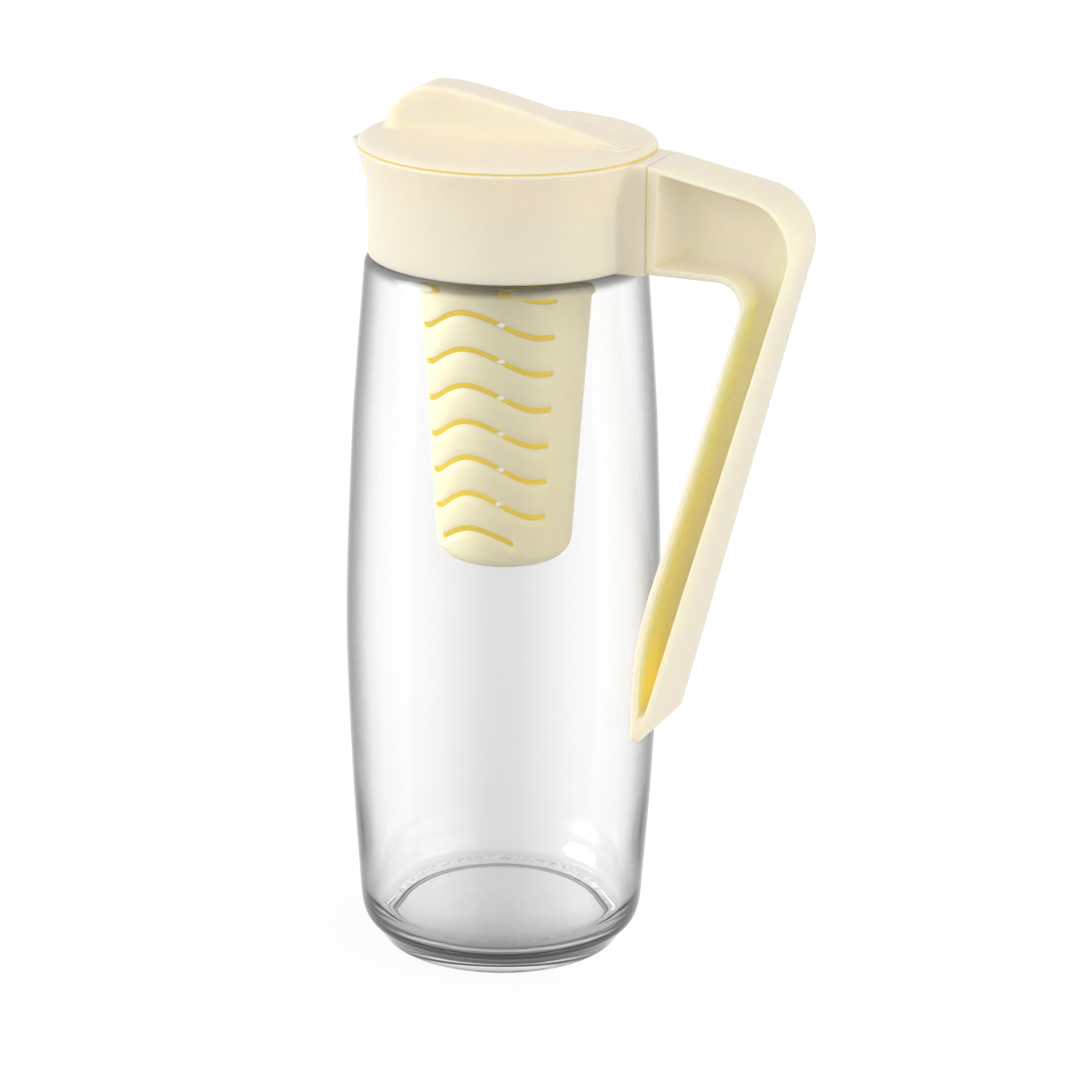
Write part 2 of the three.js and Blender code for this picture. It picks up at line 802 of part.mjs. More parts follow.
function cupShell() {
  const floor = cupBottom + cupWall;
  const sideBottom = cupBottom + cupCorner;
  const bottomRadius = cupOuterRadius(sideBottom);
  const centre = [bottomRadius - cupCorner, sideBottom];
  const outer = arc(centre, cupCorner, -quarterTurn, 0, cupCornerSteps);
  const inner = arc(centre, cupCorner - cupWall, 0, -quarterTurn, cupCornerSteps);
  const topRadius = cupOuterRadius(cupTop);
  const profile = [
    [0, cupBottom],
    ...outer,
    [topRadius, cupTop],
    [topRadius - cupWall, cupTop],
    ...inner,
    [0, floor],
  ];
  return solid(turned(profile, cupSteps).rotateZ(panelAngle));
}

// A wavy slot: its middle line falls from a crest like a cosine, to level ends
function wavySlot(middleAngle, crestZ, halfAngle, fall) {
  const rings = [];
  const step = facetsPerSlotStep * circle / cupSteps;
  const most = Math.ceil(halfAngle / step);
  for (let i = -most; i <= most; i++) {
    const away = Math.sign(i) * Math.min(Math.abs(i) * step, halfAngle);
    const run = away < 0 ? slotBackFallAngle : slotFallAngle;
    const along = Math.min(Math.abs(away) / run, 1);
    const z = crestZ - fall * (1 - Math.cos(halfTurn * along)) / 2;
    const angle = middleAngle + away;
    const inner = cupOuterRadius(z) - cupWall - overrun;
    const outer = cupOuterRadius(z) + overrun;
    const low = z - slotHeight / 2;
    const high = z + slotHeight / 2;
    rings.push([
      polar(angle, inner, low),
      polar(angle, outer, low),
      polar(angle, outer, high),
      polar(angle, inner, high),
    ]);
  }
  return solid(loft(rings));
}

// The J shaped cuts that drop over the socket's lugs and then turn under them
function bayonetCut(i) {
  const inner = cupOuterRadius(socketBottom) - cupWall - overrun;
  const outer = cupOuterRadius(cupTop) + overrun;
  const play = seatGap / socketRadius;
  const width = lugWidth / socketRadius + 2 * play;
  const low = lugMiddle - lugHeight / 2 - seatGap;
  const high = lugMiddle + lugHeight / 2 + seatGap;
  const angle = lugAngle(i);
  const across = sector(inner, outer, low, high, angle - cupTwist / 2, width + cupTwist, cornerSteps);
  const entry = sector(inner, outer, low, cupTop + overrun, angle - cupTwist, width, tipSteps);
  return across.add(entry);
}

function infuser() {
  let body = cupShell();
  for (let panel = 0; panel < panelCount; panel++) {
    const middle = panelAngle + circle * panel / panelCount;
    for (let row = 0; row < slotRows; row++) {
      const crest = slotTopCrest - row * slotPitch;
      const slot = row === slotRows - 1
        ? wavySlot(middle, crest, shortSlotHalfAngle, shortSlotFall)
        : wavySlot(middle, crest, slotHalfAngle, slotFall);
      body = body.subtract(slot);
    }
  }
  for (let i = 0; i < lugCount; i++) {
    body = body.subtract(bayonetCut(i));
  }
  return body;
}

const carafe = new THREE.Group();
carafe.add(
  piece("glass_jug", glassJug(), clearGlass),
  piece("neck_gasket", neckGasket(), silicone),
  piece("collar", collar(), creamPlastic),
  piece("handle", handle(), creamPlastic),
  piece("handle_screw_upper", handleScrew(screwHeights[0]), steel),
  piece("handle_screw_lower", handleScrew(screwHeights[1]), steel),
  piece("lid_cap", lidCap(), creamPlastic),
  piece("lid_plug", lidPlug(), creamPlastic),
  piece("lid_seal", lidSeal(), silicone),
  piece("infuser", infuser(), cupPlastic),
);
carafe.position.x = -originShift;

export default carafe;
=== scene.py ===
import math
import bpy
import numpy as np
from mathutils import Matrix, Vector


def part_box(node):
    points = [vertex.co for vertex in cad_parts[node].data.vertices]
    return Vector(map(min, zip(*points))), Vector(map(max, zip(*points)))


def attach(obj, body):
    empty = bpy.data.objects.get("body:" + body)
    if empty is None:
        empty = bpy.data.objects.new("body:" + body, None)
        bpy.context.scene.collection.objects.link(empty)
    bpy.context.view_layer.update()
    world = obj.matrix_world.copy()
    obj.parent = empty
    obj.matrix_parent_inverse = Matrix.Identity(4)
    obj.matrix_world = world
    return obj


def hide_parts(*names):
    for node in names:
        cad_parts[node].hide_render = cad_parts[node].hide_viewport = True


# A glass water jug with a cream plastic collar, handle, turning lid and hanging infuser cup.
# Lengths are millimetres in the jug's own frame, with the jug's axis at X = Y = 0 and the table at Z = 0.
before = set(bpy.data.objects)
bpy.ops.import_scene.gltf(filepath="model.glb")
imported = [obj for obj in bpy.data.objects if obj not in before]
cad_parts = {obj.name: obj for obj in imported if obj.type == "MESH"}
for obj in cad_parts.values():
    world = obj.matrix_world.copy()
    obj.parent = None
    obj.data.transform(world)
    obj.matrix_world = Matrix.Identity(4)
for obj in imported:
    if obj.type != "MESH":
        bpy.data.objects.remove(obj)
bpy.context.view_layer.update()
MM = 0.001
jug_low, jug_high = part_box("glass_jug")
AXIS_X = (jug_low.x + jug_high.x) / 2
TURN = 2 * math.pi
TINY = 1e-6

# Glass jug, whose neck the collar fits
RIM_Z = jug_high.z / MM
BELLY_R = 52.4
BASE_R = 47.9
BASE_Z = 18.0
FOOT_IN = 8.1
SHOULDER_Z = 237.2
SHOULDER_RISE = 3.6
SHOULDER_R = 46.3
NECK_R = 40.0
NECK_BORE = 37.2
NECK_CORNER = 0.6
RIM_ROUND = 0.9
GLASS_WALL = 3.0
SHOULDER_WALL = 5.0
SHOULDER_INSIDE_RISE = 4.2
BASE_THICKENING = 1.1
THICKENING_TOP = 62.0
THICKENING_RUN = 40.0
CORNER_Z = 21.0
FLOOR_Z = 8.3
FLOOR_R = 36.8
FLOOR_LIP = 0.3
RECESS_Z = 1.6
RECESS_R = 35.6
FOOT_RING_IN = 37.3
FOOT_RING_OUT = 39.2
EDGE_STEP = 0.05
SKIRT_BORE = 42.7

# Screw thread
THREAD_LEAD = 8.0
THREAD_STARTS = 2
THREAD_DEPTH = 1.9
THREAD_BITE = 0.4
THREAD_HALF = 1.1
THREAD_CREST = 0.25
NECK_THREAD_DROP = 12.0
NECK_THREAD_SHARE = 0.47
SKIRT_THREAD_DROP = 14.0
SKIRT_THREAD_SHARE = 0.42
SKIRT_THREAD_GAP = 0.5
THREAD_FADE_SHARE = 0.09

# Infuser cup
CUP_TOP = 270.8
CUP_BOTTOM = 135.4
CUP_R = 22.0
CUP_TOP_R = 31.1
CUP_WALL = 1.6
CUP_CORNER = 7.0
CUP_TOP_ROUND = 0.4
CUP_TWIST = math.radians(40)
PANEL_ANGLE = 85.0
SLOT_ROWS = 8
SLOT_TOP = 235.65
SLOT_PITCH = 12.293
SLOT_HEIGHT = 2.0
SLOT_FALL = 8.3
SHORT_SLOT_FALL = 6.6
FALL_ANGLE = 55.5
BACK_FALL_ANGLE = 48.0
SLOT_HALF = 63.0
SLOT_BACK = 48.0
SHORT_SLOT_HALF = 36.0
SLOT_ROUND_SHARE = 0.12
SLOT_SQUARE_SHARE = 0.85
SLOT_END_RUN = 2.4
SLOT_END_FADE = 6.0
SLOT_PULL_RUN = 1.5
SLOT_GROOVE = 0.55
SLOT_BULGE = 0.1
SLOT_EDGE_ROUND = 0.12
PLAIN_BULGE_SHARE = 0.4
ABOVE_SLOTS = 7.0
LUG_COUNT = 3
LUG_WIDTH = 8.0
LUG_HEIGHT = 2.4
LUG_Z = 264.0
LUG_PLAY = 0.3
LUG_CUT = (26.0, 34.0)
SOCKET_R = 28.6

# Start and run of the changes beside the slots, past the slots' ends, and up the cup
GROOVE_FADES = (0.2, 2.2)
BULGE_GROWS = (1.0, 3.2)
EDGE_FADES = (0.0, 0.3)
RELIEF_FADES = (-2.5, 3.2)
FALL_GROWS = (3.2, 5.5)
FALL_BEGINS = (-20.0, 16.0)
FALL_ENDS = (4.0, 22.0)

# Collar, with its block and spout
COLLAR_BOTTOM = 237.5
COLLAR_TOP = 273.4
COLLAR_R = 45.1
COLLAR_WALL = 2.0
FLARE_START = 255.0
FLARE_OUT = 4.1
RIM_R = 49.2
SPOUT_REACH = 56.3
SPOUT_START = 243.0
SPOUT_HALF = math.radians(28.5)
SPOUT_DIP = 3.4
WEB_BORE = 37.4
WEB_BOTTOM = 259.9
WEB_TOP = 264.3
BLOCK_FACE = 52.7
BLOCK_HALF = 12.85
BLOCK_BLEND = 2.2
BLOCK_BLEND_MORE = 3.5
BLEND_GROWS = (258.0, 14.0)
BLOCK_SHARPNESS = 54.0
COLLAR_RIM = 0.55
COLLAR_RIM_RISE = 0.7
SMALL_EDGE = 0.15
WALL_FOOT_Z = 265.1

# Handle
SEAM_X = 53.1
TOP_SLOPE = math.radians(11)
CORNER = (83.4, 249.17)
CORNER_R = 18.0
HANDLE_LEAN = math.radians(15.12)
INNER_LEAN = math.radians(15.74)
BEND = (76.72, 230.0)
BEND_R = 8.2
BRACKET_Z = 238.2
LEG_X = 52.94
TIP_X = 57.0
TIP_Z = 82.5
TIP_R = 2.19
KNEE_Z = 115.3
KNEE_RUN = 17.0
FLARE_SHARE = 0.0813
WEB_HALF = 1.6
INNER_LIP = 2.4
OUTER_LIP = 1.5
FRONT_LIP = 2.9
POCKET_TIP = 90.0
HANDLE_EDGE = 1.1
SEAM_EDGE = 0.35
POCKET_FILLET = 4.2
POCKET_DRAFT = 0.9
POCKET_TIP_RUN = 9.0
POCKET_LEAD = 0.2
POCKET_RUN = 5.5
POCKET_CURVE = 2.6
FAR_FROM_SEAM = 99.0
TONGUE_FACE = 47.5
TONGUE_Z = 249.0
TONGUE_HALF = 6.5
TONGUE_HALF_HEIGHT = 8.5
TONGUE_PLAY = 0.3
SCREW_SPACING = 9.4
SCREW_BORE_R = 1.9
SCREW_HEAD_R = 3.3
SCREW_SEAT = 45.3
SCREW_HEIGHTS = (TONGUE_Z + SCREW_SPACING / 2, TONGUE_Z - SCREW_SPACING / 2)
HANDLE_BORE_END = 53.7
COLLAR_BORE_END = 49.2

# Lid cap
LID_BOTTOM = 273.7
LID_TOP = 275.7
LID_R = 48.4
LID_EDGE_RUN = 4.0
LID_CROWN = 0.8
FIN_TOP = 291.5
FIN_FRONT = 42.4
FIN_PEAK = 24.8
FIN_END = 44.2
FIN_END_Z = 275.9
FIN_HALF = 7.7
FIN_TAIL_R = 13.0
FIN_TAIL_IN = 5.5
FIN_NOSE_POWER = 1.6
FIN_EDGE = 1.7
FIN_FILLET = 1.8
FIN_DRAFT = 0.25
FIN_EDGE_SHARE = 0.45
FIN_FILLET_SHARE = 0.8
LID_EDGE_DROP = 1.8
LID_UNDER_EDGE = 0.35

# Camera, fitted to the photograph
CAMERA_AWAY = 1290.0
CAMERA_UP = 556.5
CAMERA_ROUND = math.radians(22.76)
CAMERA_TURN = math.radians(22.231)
CAMERA_TILT = math.radians(17.926)
CAMERA_ROLL = math.radians(0.658)
CAMERA_LENS = 136.08
SENSOR = 36.0

# Stage and world
FLOOR_HALF = 6.0
FLOOR_DROP = 0.0002
WORLD_STRENGTH = 0.56
WHITE = (1, 1, 1, 1)
FLOOR_GLOW = (0.82, 0.82, 0.82, 1)
FLOOR_SHADE = (0.22, 0.22, 0.22, 1)
FLOOR_PLAIN = (0.8, 0.8, 0.8, 1)

# Surfaces: finishes, noise scales and depths, with places on the glass in millimetres
DRESS_EDGE = 0.25
PLASTIC_IOR = 1.48
GLASS_IOR = 1.5
PLASTIC_CLOUD = 28.0
PLASTIC_PATCH = 90.0
PLASTIC_GRAIN = 1800.0
PLASTIC_GRAIN_DEPTH = 0.05
BLEED_TINT = (1.0, 0.92, 0.4)
SHADE_SAMPLES = 12
GLASS_WAVER = 60.0
GLASS_WAVER_HEIGHT = 0.5
FLOOR_SPECKLE = 900.0
SPECKLE_IN = (34.6, 36.6)
SPECKLE_OUT = (38.6, 37.4)
FLOOR_FADE_TOP = (10.5, 9.0)
FLOOR_FADE_LOW = (3.0, 4.0)
OUTER_FACE_LEAN = (0.02, 0.12)
BACK_TINT = (0.97, 0.97, 0.97)


def to_world(points):
    """Points in the jug's own millimetres, as world metres."""
    placed = np.array(points, float) * MM
    placed[..., 0] += AXIS_X
    return placed


def outward(points, faces):
    """The faces of a closed mesh, turned so that they point out."""
    p = np.array(points, float)
    volume = 0.0
    for f in faces:
        a = p[f[0]]
        for k in range(1, len(f) - 1):
            volume += float(a @ np.cross(p[f[k]], p[f[k + 1]]))
    return faces if volume > 0 else [tuple(f)[::-1] for f in faces]


def new_object(name, points, faces):
    """A closed mesh object from points and faces in the jug's own millimetres."""
    points = np.array(points, float).reshape(-1, 3)
    faces = outward(points, faces)
    mesh = bpy.data.meshes.new(name)
    mesh.from_pydata(to_world(points).tolist(), [], [[int(i) for i in f] for f in faces])
    mesh.update()
    obj = bpy.data.objects.new(name, mesh)
    bpy.context.scene.collection.objects.link(obj)
    return obj


def finish_piece(obj, material, body, node, crease):
    """Gives a piece its finish and its body, and hides the CAD node that it stands for."""
    obj.data.materials.clear()
    obj.data.materials.append(material)
    obj.data.shade_smooth()
    obj.data.set_sharp_from_angle(angle=math.radians(crease))
    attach(obj, body)
    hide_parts(node)


def join(obj, other, operation):
    """Joins another object to a piece, or cuts it away."""
    change = obj.modifiers.new("join", "BOOLEAN")
    change.object = other
    change.operation = operation
    change.solver = "MANIFOLD"
    view = bpy.context.evaluated_depsgraph_get()
    mesh = bpy.data.meshes.new_from_object(obj.evaluated_get(view))
    obj.modifiers.clear()
    obj.data = mesh
    bpy.data.objects.remove(other)


def block(low, high):
    """A box between two corners, as a cutter or an addition."""
    (x0, y0, z0), (x1, y1, z1) = low, high
    points = [(x, y, z) for z in (z0, z1) for y in (y0, y1) for x in (x0, x1)]
    faces = [(0, 2, 3, 1), (4, 5, 7, 6), (0, 1, 5, 4), (2, 6, 7, 3), (0, 4, 6, 2), (1, 3, 7, 5)]
    return new_object("block", points, faces)


def tube(name, rings):
    """A solid from rings of points, with flat ends."""
    count = len(rings[0])
    end = (len(rings) - 1) * count
    faces = grid_faces(len(rings), count, False, True)
    faces += [tuple(range(count))[::-1], tuple(range(end, end + count))]
    return new_object(name, rings, faces)


def sector(inner, outer, low, high, middle, width, steps=10):
    """Part of a ring round the axis, as a cutter."""
    angles = np.linspace(middle - width / 2, middle + width / 2, steps + 1)
    corners = ((inner, low), (outer, low), (outer, high), (inner, high))
    return tube("sector", [[(r * math.cos(a), r * math.sin(a), z) for r, z in corners] for a in angles])


def cross_rod(radius, from_x, to_x, z, steps=48):
    """A rod along X at the handle's middle plane, as a cutter."""
    angles = np.arange(steps) * TURN / steps
    return tube("rod", [
        [(x, radius * math.cos(a), z + radius * math.sin(a)) for a in angles] for x in (from_x, to_x)])


def ease(value, start=0.0, run=1.0):
    """Zero to one with soft ends, over a run from a start."""
    t = np.clip((value - start) / run, 0.0, 1.0)
    return t * t * (3 - 2 * t)


def grid_faces(rows, columns, close_rows, close_columns):
    """Quads of a grid of rows by columns, wrapped where a direction closes on itself."""
    r = np.arange(rows if close_rows else rows - 1)
    c = np.arange(columns if close_columns else columns - 1)
    rr, cc = np.meshgrid(r, c, indexing="ij")
    r2 = (rr + 1) % rows
    c2 = (cc + 1) % columns
    quads = np.stack([rr * columns + cc, rr * columns + c2, r2 * columns + c2, r2 * columns + cc], -1)
    return [tuple(q) for q in quads.reshape(-1, 4)]


def lathe(profile, steps):
    """Points and faces of a closed [radius, height] profile turned round the axis, which it may touch."""
    profile = np.array(profile, float)
    on_axis = profile[0, 0] == 0 and profile[-1, 0] == 0
    ring = profile[1:-1] if on_axis else profile
    angles = np.arange(steps) * TURN / steps
    points = np.stack([
        ring[:, None, 0] * np.cos(angles), ring[:, None, 0] * np.sin(angles),
        np.repeat(ring[:, None, 1], steps, 1)], -1).reshape(-1, 3)
    faces = grid_faces(len(ring), steps, not on_axis, True)
    if on_axis:
        first, last = len(points), len(points) + 1
        points = np.vstack([points, [0, 0, profile[0, 1]], [0, 0, profile[-1, 1]]])
        end = (len(ring) - 1) * steps
        for k in range(steps):
            faces.append((first, (k + 1) % steps, k))
            faces.append((last, end + k, end + (k + 1) % steps))
    return points, faces


def spline(points, steps):
    """A smooth curve through points, ends included, with even steps between them."""
    p = np.array(points, float)
    p = np.vstack([2 * p[0] - p[1], p, 2 * p[-1] - p[-2]])
    curve = []
    for i in range(1, len(p) - 2):
        t = np.linspace(0, 1, steps, endpoint=False)[:, None]
        a, b, c, d = p[i - 1], p[i], p[i + 1], p[i + 2]
        curve.append(0.5 * (2 * b + (c - a) * t + (2 * a - 5 * b + 4 * c - d) * t ** 2
                            + (3 * b - a - 3 * c + d) * t ** 3))
    return np.vstack(curve + [p[-2]])


def arc(centre, radius, start, end, steps):
    """Points of a circle's arc, ends included."""
    angles = np.linspace(start, end, steps + 1)
    return [(centre[0] + radius * math.cos(a), centre[1] + radius * math.sin(a)) for a in angles]


def quarter_oval(start_radius, end_radius, start_z, rise, steps=10):
    """A quarter of an oval that starts upright at one radius and ends level at a smaller one."""
    angles = np.linspace(0, math.pi / 2, steps + 1)
    across = start_radius - end_radius
    return [(end_radius + across * math.cos(a), start_z + rise * math.sin(a)) for a in angles]


# Materials
def new_material(name):
    material = bpy.data.materials.new(name)
    material.use_nodes = True
    material.node_tree.nodes.clear()
    return material, material.node_tree


def add_node(tree, kind, inputs=None, **values):
    """A node with its settings. Each input is set to a value, or linked where it is given a socket."""
    node = tree.nodes.new("ShaderNode" + kind)
    for key, value in values.items():
        setattr(node, key, value)
    for key, value in (inputs or {}).items():
        if isinstance(value, bpy.types.NodeSocket):
            tree.links.new(value, node.inputs[key])
        else:
            node.inputs[key].default_value = value
    return node


def ramp(tree, source, stops):
    """A colour ramp over a value, with stops of (position, colour)."""
    node = add_node(tree, "ValToRGB", {"Fac": source})
    elements = node.color_ramp.elements
    while len(elements) < len(stops):
        elements.new(1.0)
    for element, (position, colour) in zip(elements, stops):
        element.position = position
        element.color = (*colour, 1)
    return node.outputs["Color"]


def noise(tree, scale, detail=2.0):
    place = add_node(tree, "TexCoord").outputs["Object"]
    return add_node(tree, "TexNoise", {"Scale": scale, "Detail": detail, "Vector": place}).outputs["Fac"]


def bump(tree, height, strength, distance):
    inputs = {"Strength": strength, "Distance": distance, "Height": height}
    return add_node(tree, "Bump", inputs).outputs["Normal"]


def map_range(tree, source, low, high, to_low=0.0, to_high=1.0, smooth=False):
    inputs = {"Value": source, "From Min": low, "From Max": high, "To Min": to_low, "To Max": to_high}
    kind = "SMOOTHSTEP" if smooth else "LINEAR"
    return add_node(tree, "MapRange", inputs, interpolation_type=kind).outputs["Result"]


def calculate(tree, operation, a, b):
    """A sum, product or other simple operation on two values, each a number or a socket."""
    return add_node(tree, "Math", {0: a, 1: b}, operation=operation).outputs["Value"]


def mix_colour(tree, factor, a, b, blend="MIX"):
    a, b = [(*colour, 1) if isinstance(colour, tuple) else colour for colour in (a, b)]
    node = add_node(tree, "Mix", {"Factor": factor, 6: a, 7: b}, data_type="RGBA", blend_type=blend)
    return node.outputs[2]


def mix_shader(tree, factor, first, second):
    """The second shader by a factor, and the first for the rest."""
    return add_node(tree, "MixShader", {0: factor, 1: first.outputs[0], 2: second.outputs[0]})


def to_output(tree, shader, kind="OutputMaterial"):
    add_node(tree, kind, {"Surface": shader.outputs[0]})


def vector_math(tree, operation, inputs):
    """The outputs of a vector operation: Value for a length or product, else Vector."""
    return add_node(tree, "VectorMath", inputs, operation=operation).outputs


def from_axis(tree, source):
    """A vector's part across the jug's axis, and its part along it."""
    parts = add_node(tree, "SeparateXYZ", {"Vector": source}).outputs
    flat = add_node(tree, "CombineXYZ", {"X": parts["X"], "Y": parts["Y"]})
    return flat.outputs["Vector"], parts["Z"]


def jug_place(tree):
    """Radius and height in millimetres, how far a face looks outward, and how near it is to the front."""
    place = add_node(tree, "TexCoord").outputs
    shifted = vector_math(tree, "SUBTRACT", {0: place["Object"], 1: (AXIS_X, 0, 0)})["Vector"]
    scaled = vector_math(tree, "SCALE", {0: shifted, "Scale": 1 / MM})["Vector"]
    flat, height = from_axis(tree, scaled)
    radius = vector_math(tree, "LENGTH", {0: flat})["Value"]
    across, _ = from_axis(tree, place["Normal"])
    lean = vector_math(tree, "DOT_PRODUCT", {0: flat, 1: across})["Value"]
    lean = calculate(tree, "DIVIDE", lean, radius)
    side = map_range(tree, add_node(tree, "NewGeometry").outputs["Backfacing"], 0, 1, 1, -1)
    to_camera = (math.sin(CAMERA_ROUND), -math.cos(CAMERA_ROUND), 0)
    ahead = vector_math(tree, "DOT_PRODUCT", {0: flat, 1: to_camera})["Value"]
    front = calculate(tree, "DIVIDE", ahead, radius)
    return radius, height, calculate(tree, "MULTIPLY", lean, side), front


def greys(stops):
    return [(at, (value, value, value)) for at, value in stops]


def moulded_plastic(name, stops, roughness, reach, bleed, own_shade, glow):
    """Satin plastic with painted shade, a deeper yellow where it is shut in, and a faint painted glow
    there.
    """
    material, tree = new_material(name)
    inputs = {"Distance": reach * MM}
    shade = add_node(tree, "AmbientOcclusion", inputs, samples=SHADE_SAMPLES, only_local=own_shade)
    open_air = shade.outputs["AO"]
    shut, strength, tint = glow
    cloud = ramp(tree, noise(tree, PLASTIC_CLOUD), [(0.3, (0.975, 0.97, 0.96)), (0.7, (1, 1, 1))])
    patch = noise(tree, PLASTIC_PATCH)
    grain = noise(tree, PLASTIC_GRAIN, 1.0)
    to_output(tree, add_node(tree, "BsdfPrincipled", {
        # painted shade: the occlusion ramp turns the cream a deeper yellow where the surface is shut in
        "Base Color": mix_colour(tree, 1.0, ramp(tree, open_air, stops), cloud, "MULTIPLY"),
        "IOR": PLASTIC_IOR,
        "Roughness": map_range(tree, patch, 0, 1, roughness - 0.04, roughness + 0.05),
        "Normal": bump(tree, grain, 0.12, PLASTIC_GRAIN_DEPTH * MM),
        "Subsurface Weight": 1.0,
        "Subsurface Radius": BLEED_TINT,
        "Subsurface Scale": bleed * MM,
        # painted glow where the surface is shut in, standing in for light that comes through the plastic
        "Emission Color": (*tint, 1),
        "Emission Strength": map_range(tree, open_air, shut, 0, 0, strength)}))
    return material


def clear_glass():
    """Pressed glass with painted shade and reflection: grey where it turns away, a dark band in front,
    dark bands at its foot and a grey floor, which is also mottled.
    """
    material, tree = new_material("clear_glass")
    radius, height, lean, front = jug_place(tree)
    waver = map_range(tree, noise(tree, GLASS_WAVER), 0, 1, -GLASS_WAVER_HEIGHT, GLASS_WAVER_HEIGHT)
    wavy = calculate(tree, "ADD", height, waver)
    # painted shade by height: dark bands at the foot, and shade low on the wall and at the shoulder
    foot, wall = [
        ramp(tree, calculate(tree, "DIVIDE", wavy, top), greys((z / top, value) for z, value in bands))
        for top, bands in ((BASE_Z, FOOT_PAINTED_SHADE), (RIM_Z, WALL_SHADE))]
    shade = mix_colour(tree, map_range(tree, height, BASE_Z - 1, BASE_Z), foot, wall)
    # a painted dark reflection band down the front of the glass
    shade = mix_colour(tree, 1.0, shade, ramp(tree, front, greys(FRONT_PAINTED_REFLECTION)), "MULTIPLY")
    from_within = add_node(tree, "NewGeometry").outputs["Backfacing"]
    shade = mix_colour(tree, from_within, shade, BACK_TINT)
    facing = add_node(tree, "LayerWeight", {"Blend": 0.5}).outputs["Facing"]
    # painted dark edges where the outer face turns away
    outside = mix_colour(tree, 1.0, ramp(tree, facing, greys(GLASS_EDGE_PAINTED_SHADE)), shade, "MULTIPLY")
    speckle = ramp(tree, noise(tree, FLOOR_SPECKLE, 3.0), greys([(0.35, 0.35), (0.5, 0.8), (0.62, 1.0)]))
    ring = calculate(tree, "MULTIPLY", map_range(tree, radius, *SPECKLE_IN, 0, 1, True),
                     map_range(tree, radius, *SPECKLE_OUT, 0, 1, True))
    low = calculate(tree, "MULTIPLY", map_range(tree, height, *FLOOR_FADE_TOP),
                    map_range(tree, height, *FLOOR_FADE_LOW))
    # painted shadow: the inner floor is grey, and the other inner faces nearly clear
    floor = mix_colour(tree, low, (0.985, 0.985, 0.985), (0.8, 0.8, 0.8))
    floor = mix_colour(tree, calculate(tree, "MULTIPLY", ring, low), floor, speckle)
    glass = add_node(tree, "BsdfPrincipled", {
        "Base Color": mix_colour(tree, map_range(tree, lean, *OUTER_FACE_LEAN), floor, outside),
        "IOR": GLASS_IOR,
        "Roughness": 0.0,
        "Transmission Weight": 1.0})
    shadow = add_node(tree, "LightPath").outputs["Is Shadow Ray"]
    to_output(tree, mix_shader(tree, shadow, glass, add_node(tree, "BsdfTransparent")))
    return material


def grained_material(name, metallic, roughness, cloud_scale, dark, light, grain_scale, strength, depth):
    """A slightly clouded colour with a fine grain, whose depth is in millimetres."""
    material, tree = new_material(name)
    to_output(tree, add_node(tree, "BsdfPrincipled", {
        "Base Color": ramp(tree, noise(tree, cloud_scale), [(0.3, dark), (0.7, light)]),
        "Metallic": metallic,
        "Roughness": roughness,
        "Normal": bump(tree, noise(tree, grain_scale), strength, depth * MM)}))
    return material


# Painted shade on the glass, as grey levels: by how far its outer face turns away, by height in mm, and a
# painted dark reflection by nearness to the front
GLASS_EDGE_PAINTED_SHADE = [
    (0.0, 1), (0.3, 1), (0.43, 0.92), (0.524, 0.71), (0.583, 0.47), (0.629, 0.30), (0.658, 0.22),
    (0.694, 0.13), (0.756, 0.04), (0.81, 0.005)]
FOOT_PAINTED_SHADE = [
    (0, 0.9), (0.9, 1), (1.9, 0.65), (2.8, 1), (4.3, 1), (4.8, 0.1), (5.3, 0.001), (6.6, 0.001),
    (7.2, 0.04), (7.8, 0.001), (9.2, 0.003), (10.0, 0.08), (10.9, 0.06), (11.6, 0.65), (12.3, 0.08),
    (13.2, 0.16), (14.2, 0.23), (16.7, 0.34), (18, 0.4)]
WALL_SHADE = [
    (17, 0.4), (19, 0.47), (25, 0.68), (36, 0.84), (50, 0.93), (110, 1), (232.8, 1), (233.3, 0.9),
    (234.1, 0.7), (234.7, 0.3), (235.5, 0.1), (237.5, 0.04), (240, 0.5), (245, 0.95)]
FRONT_PAINTED_REFLECTION = [
    (0.8, 1), (0.83, 0.95), (0.88, 0.91), (0.923, 0.84), (0.955, 0.74), (0.978, 0.66), (0.992, 0.58),
    (1, 0.54)]

# Tint of the plastics from shut in to open: their own colour where open, and painted shade, a deeper
# yellow, where shut in.
# Their painted glow, which stands in for light through the plastic: where it ends, its strength and its
# tint.
# A plastic's surface is its tint, roughness, the reach of its painted shade and how deep light bleeds, in
# mm.
CREAM_TINT_AND_PAINTED_SHADE = [
    (0.0, (0.93, 0.74, 0.14)), (0.15, (0.95, 0.84, 0.35)), (0.3, (0.94, 0.87, 0.56)),
    (0.5, (0.90, 0.845, 0.635)), (0.75, (0.86, 0.805, 0.665)), (1.0, (0.885, 0.805, 0.665))]
CREAM_PAINTED_GLOW = (0.3, 0.22, (1, 0.83, 0.28))
CUP_TINT_AND_PAINTED_SHADE = [
    (0.25, (0.88, 0.76, 0.12)), (0.55, (0.87, 0.78, 0.28)), (0.75, (0.83, 0.78, 0.5)),
    (0.9, (0.81, 0.77, 0.54)), (1.0, (0.80, 0.765, 0.55))]
CUP_PAINTED_GLOW = (0.5, 0.26, (1, 0.8, 0.12))
BLEED = 4.0
CREAM_SURFACE = (CREAM_TINT_AND_PAINTED_SHADE, 0.42, 14.0, BLEED)
CREAM = moulded_plastic("cream_plastic", *CREAM_SURFACE, own_shade=False, glow=CREAM_PAINTED_GLOW)
HANDLE_CREAM = moulded_plastic("handle_plastic", *CREAM_SURFACE, own_shade=True, glow=CREAM_PAINTED_GLOW)
CUP_CREAM = moulded_plastic("cup_plastic", CUP_TINT_AND_PAINTED_SHADE, 0.45, 70.0, BLEED, own_shade=True, glow=CUP_PAINTED_GLOW)
GLASS = clear_glass()
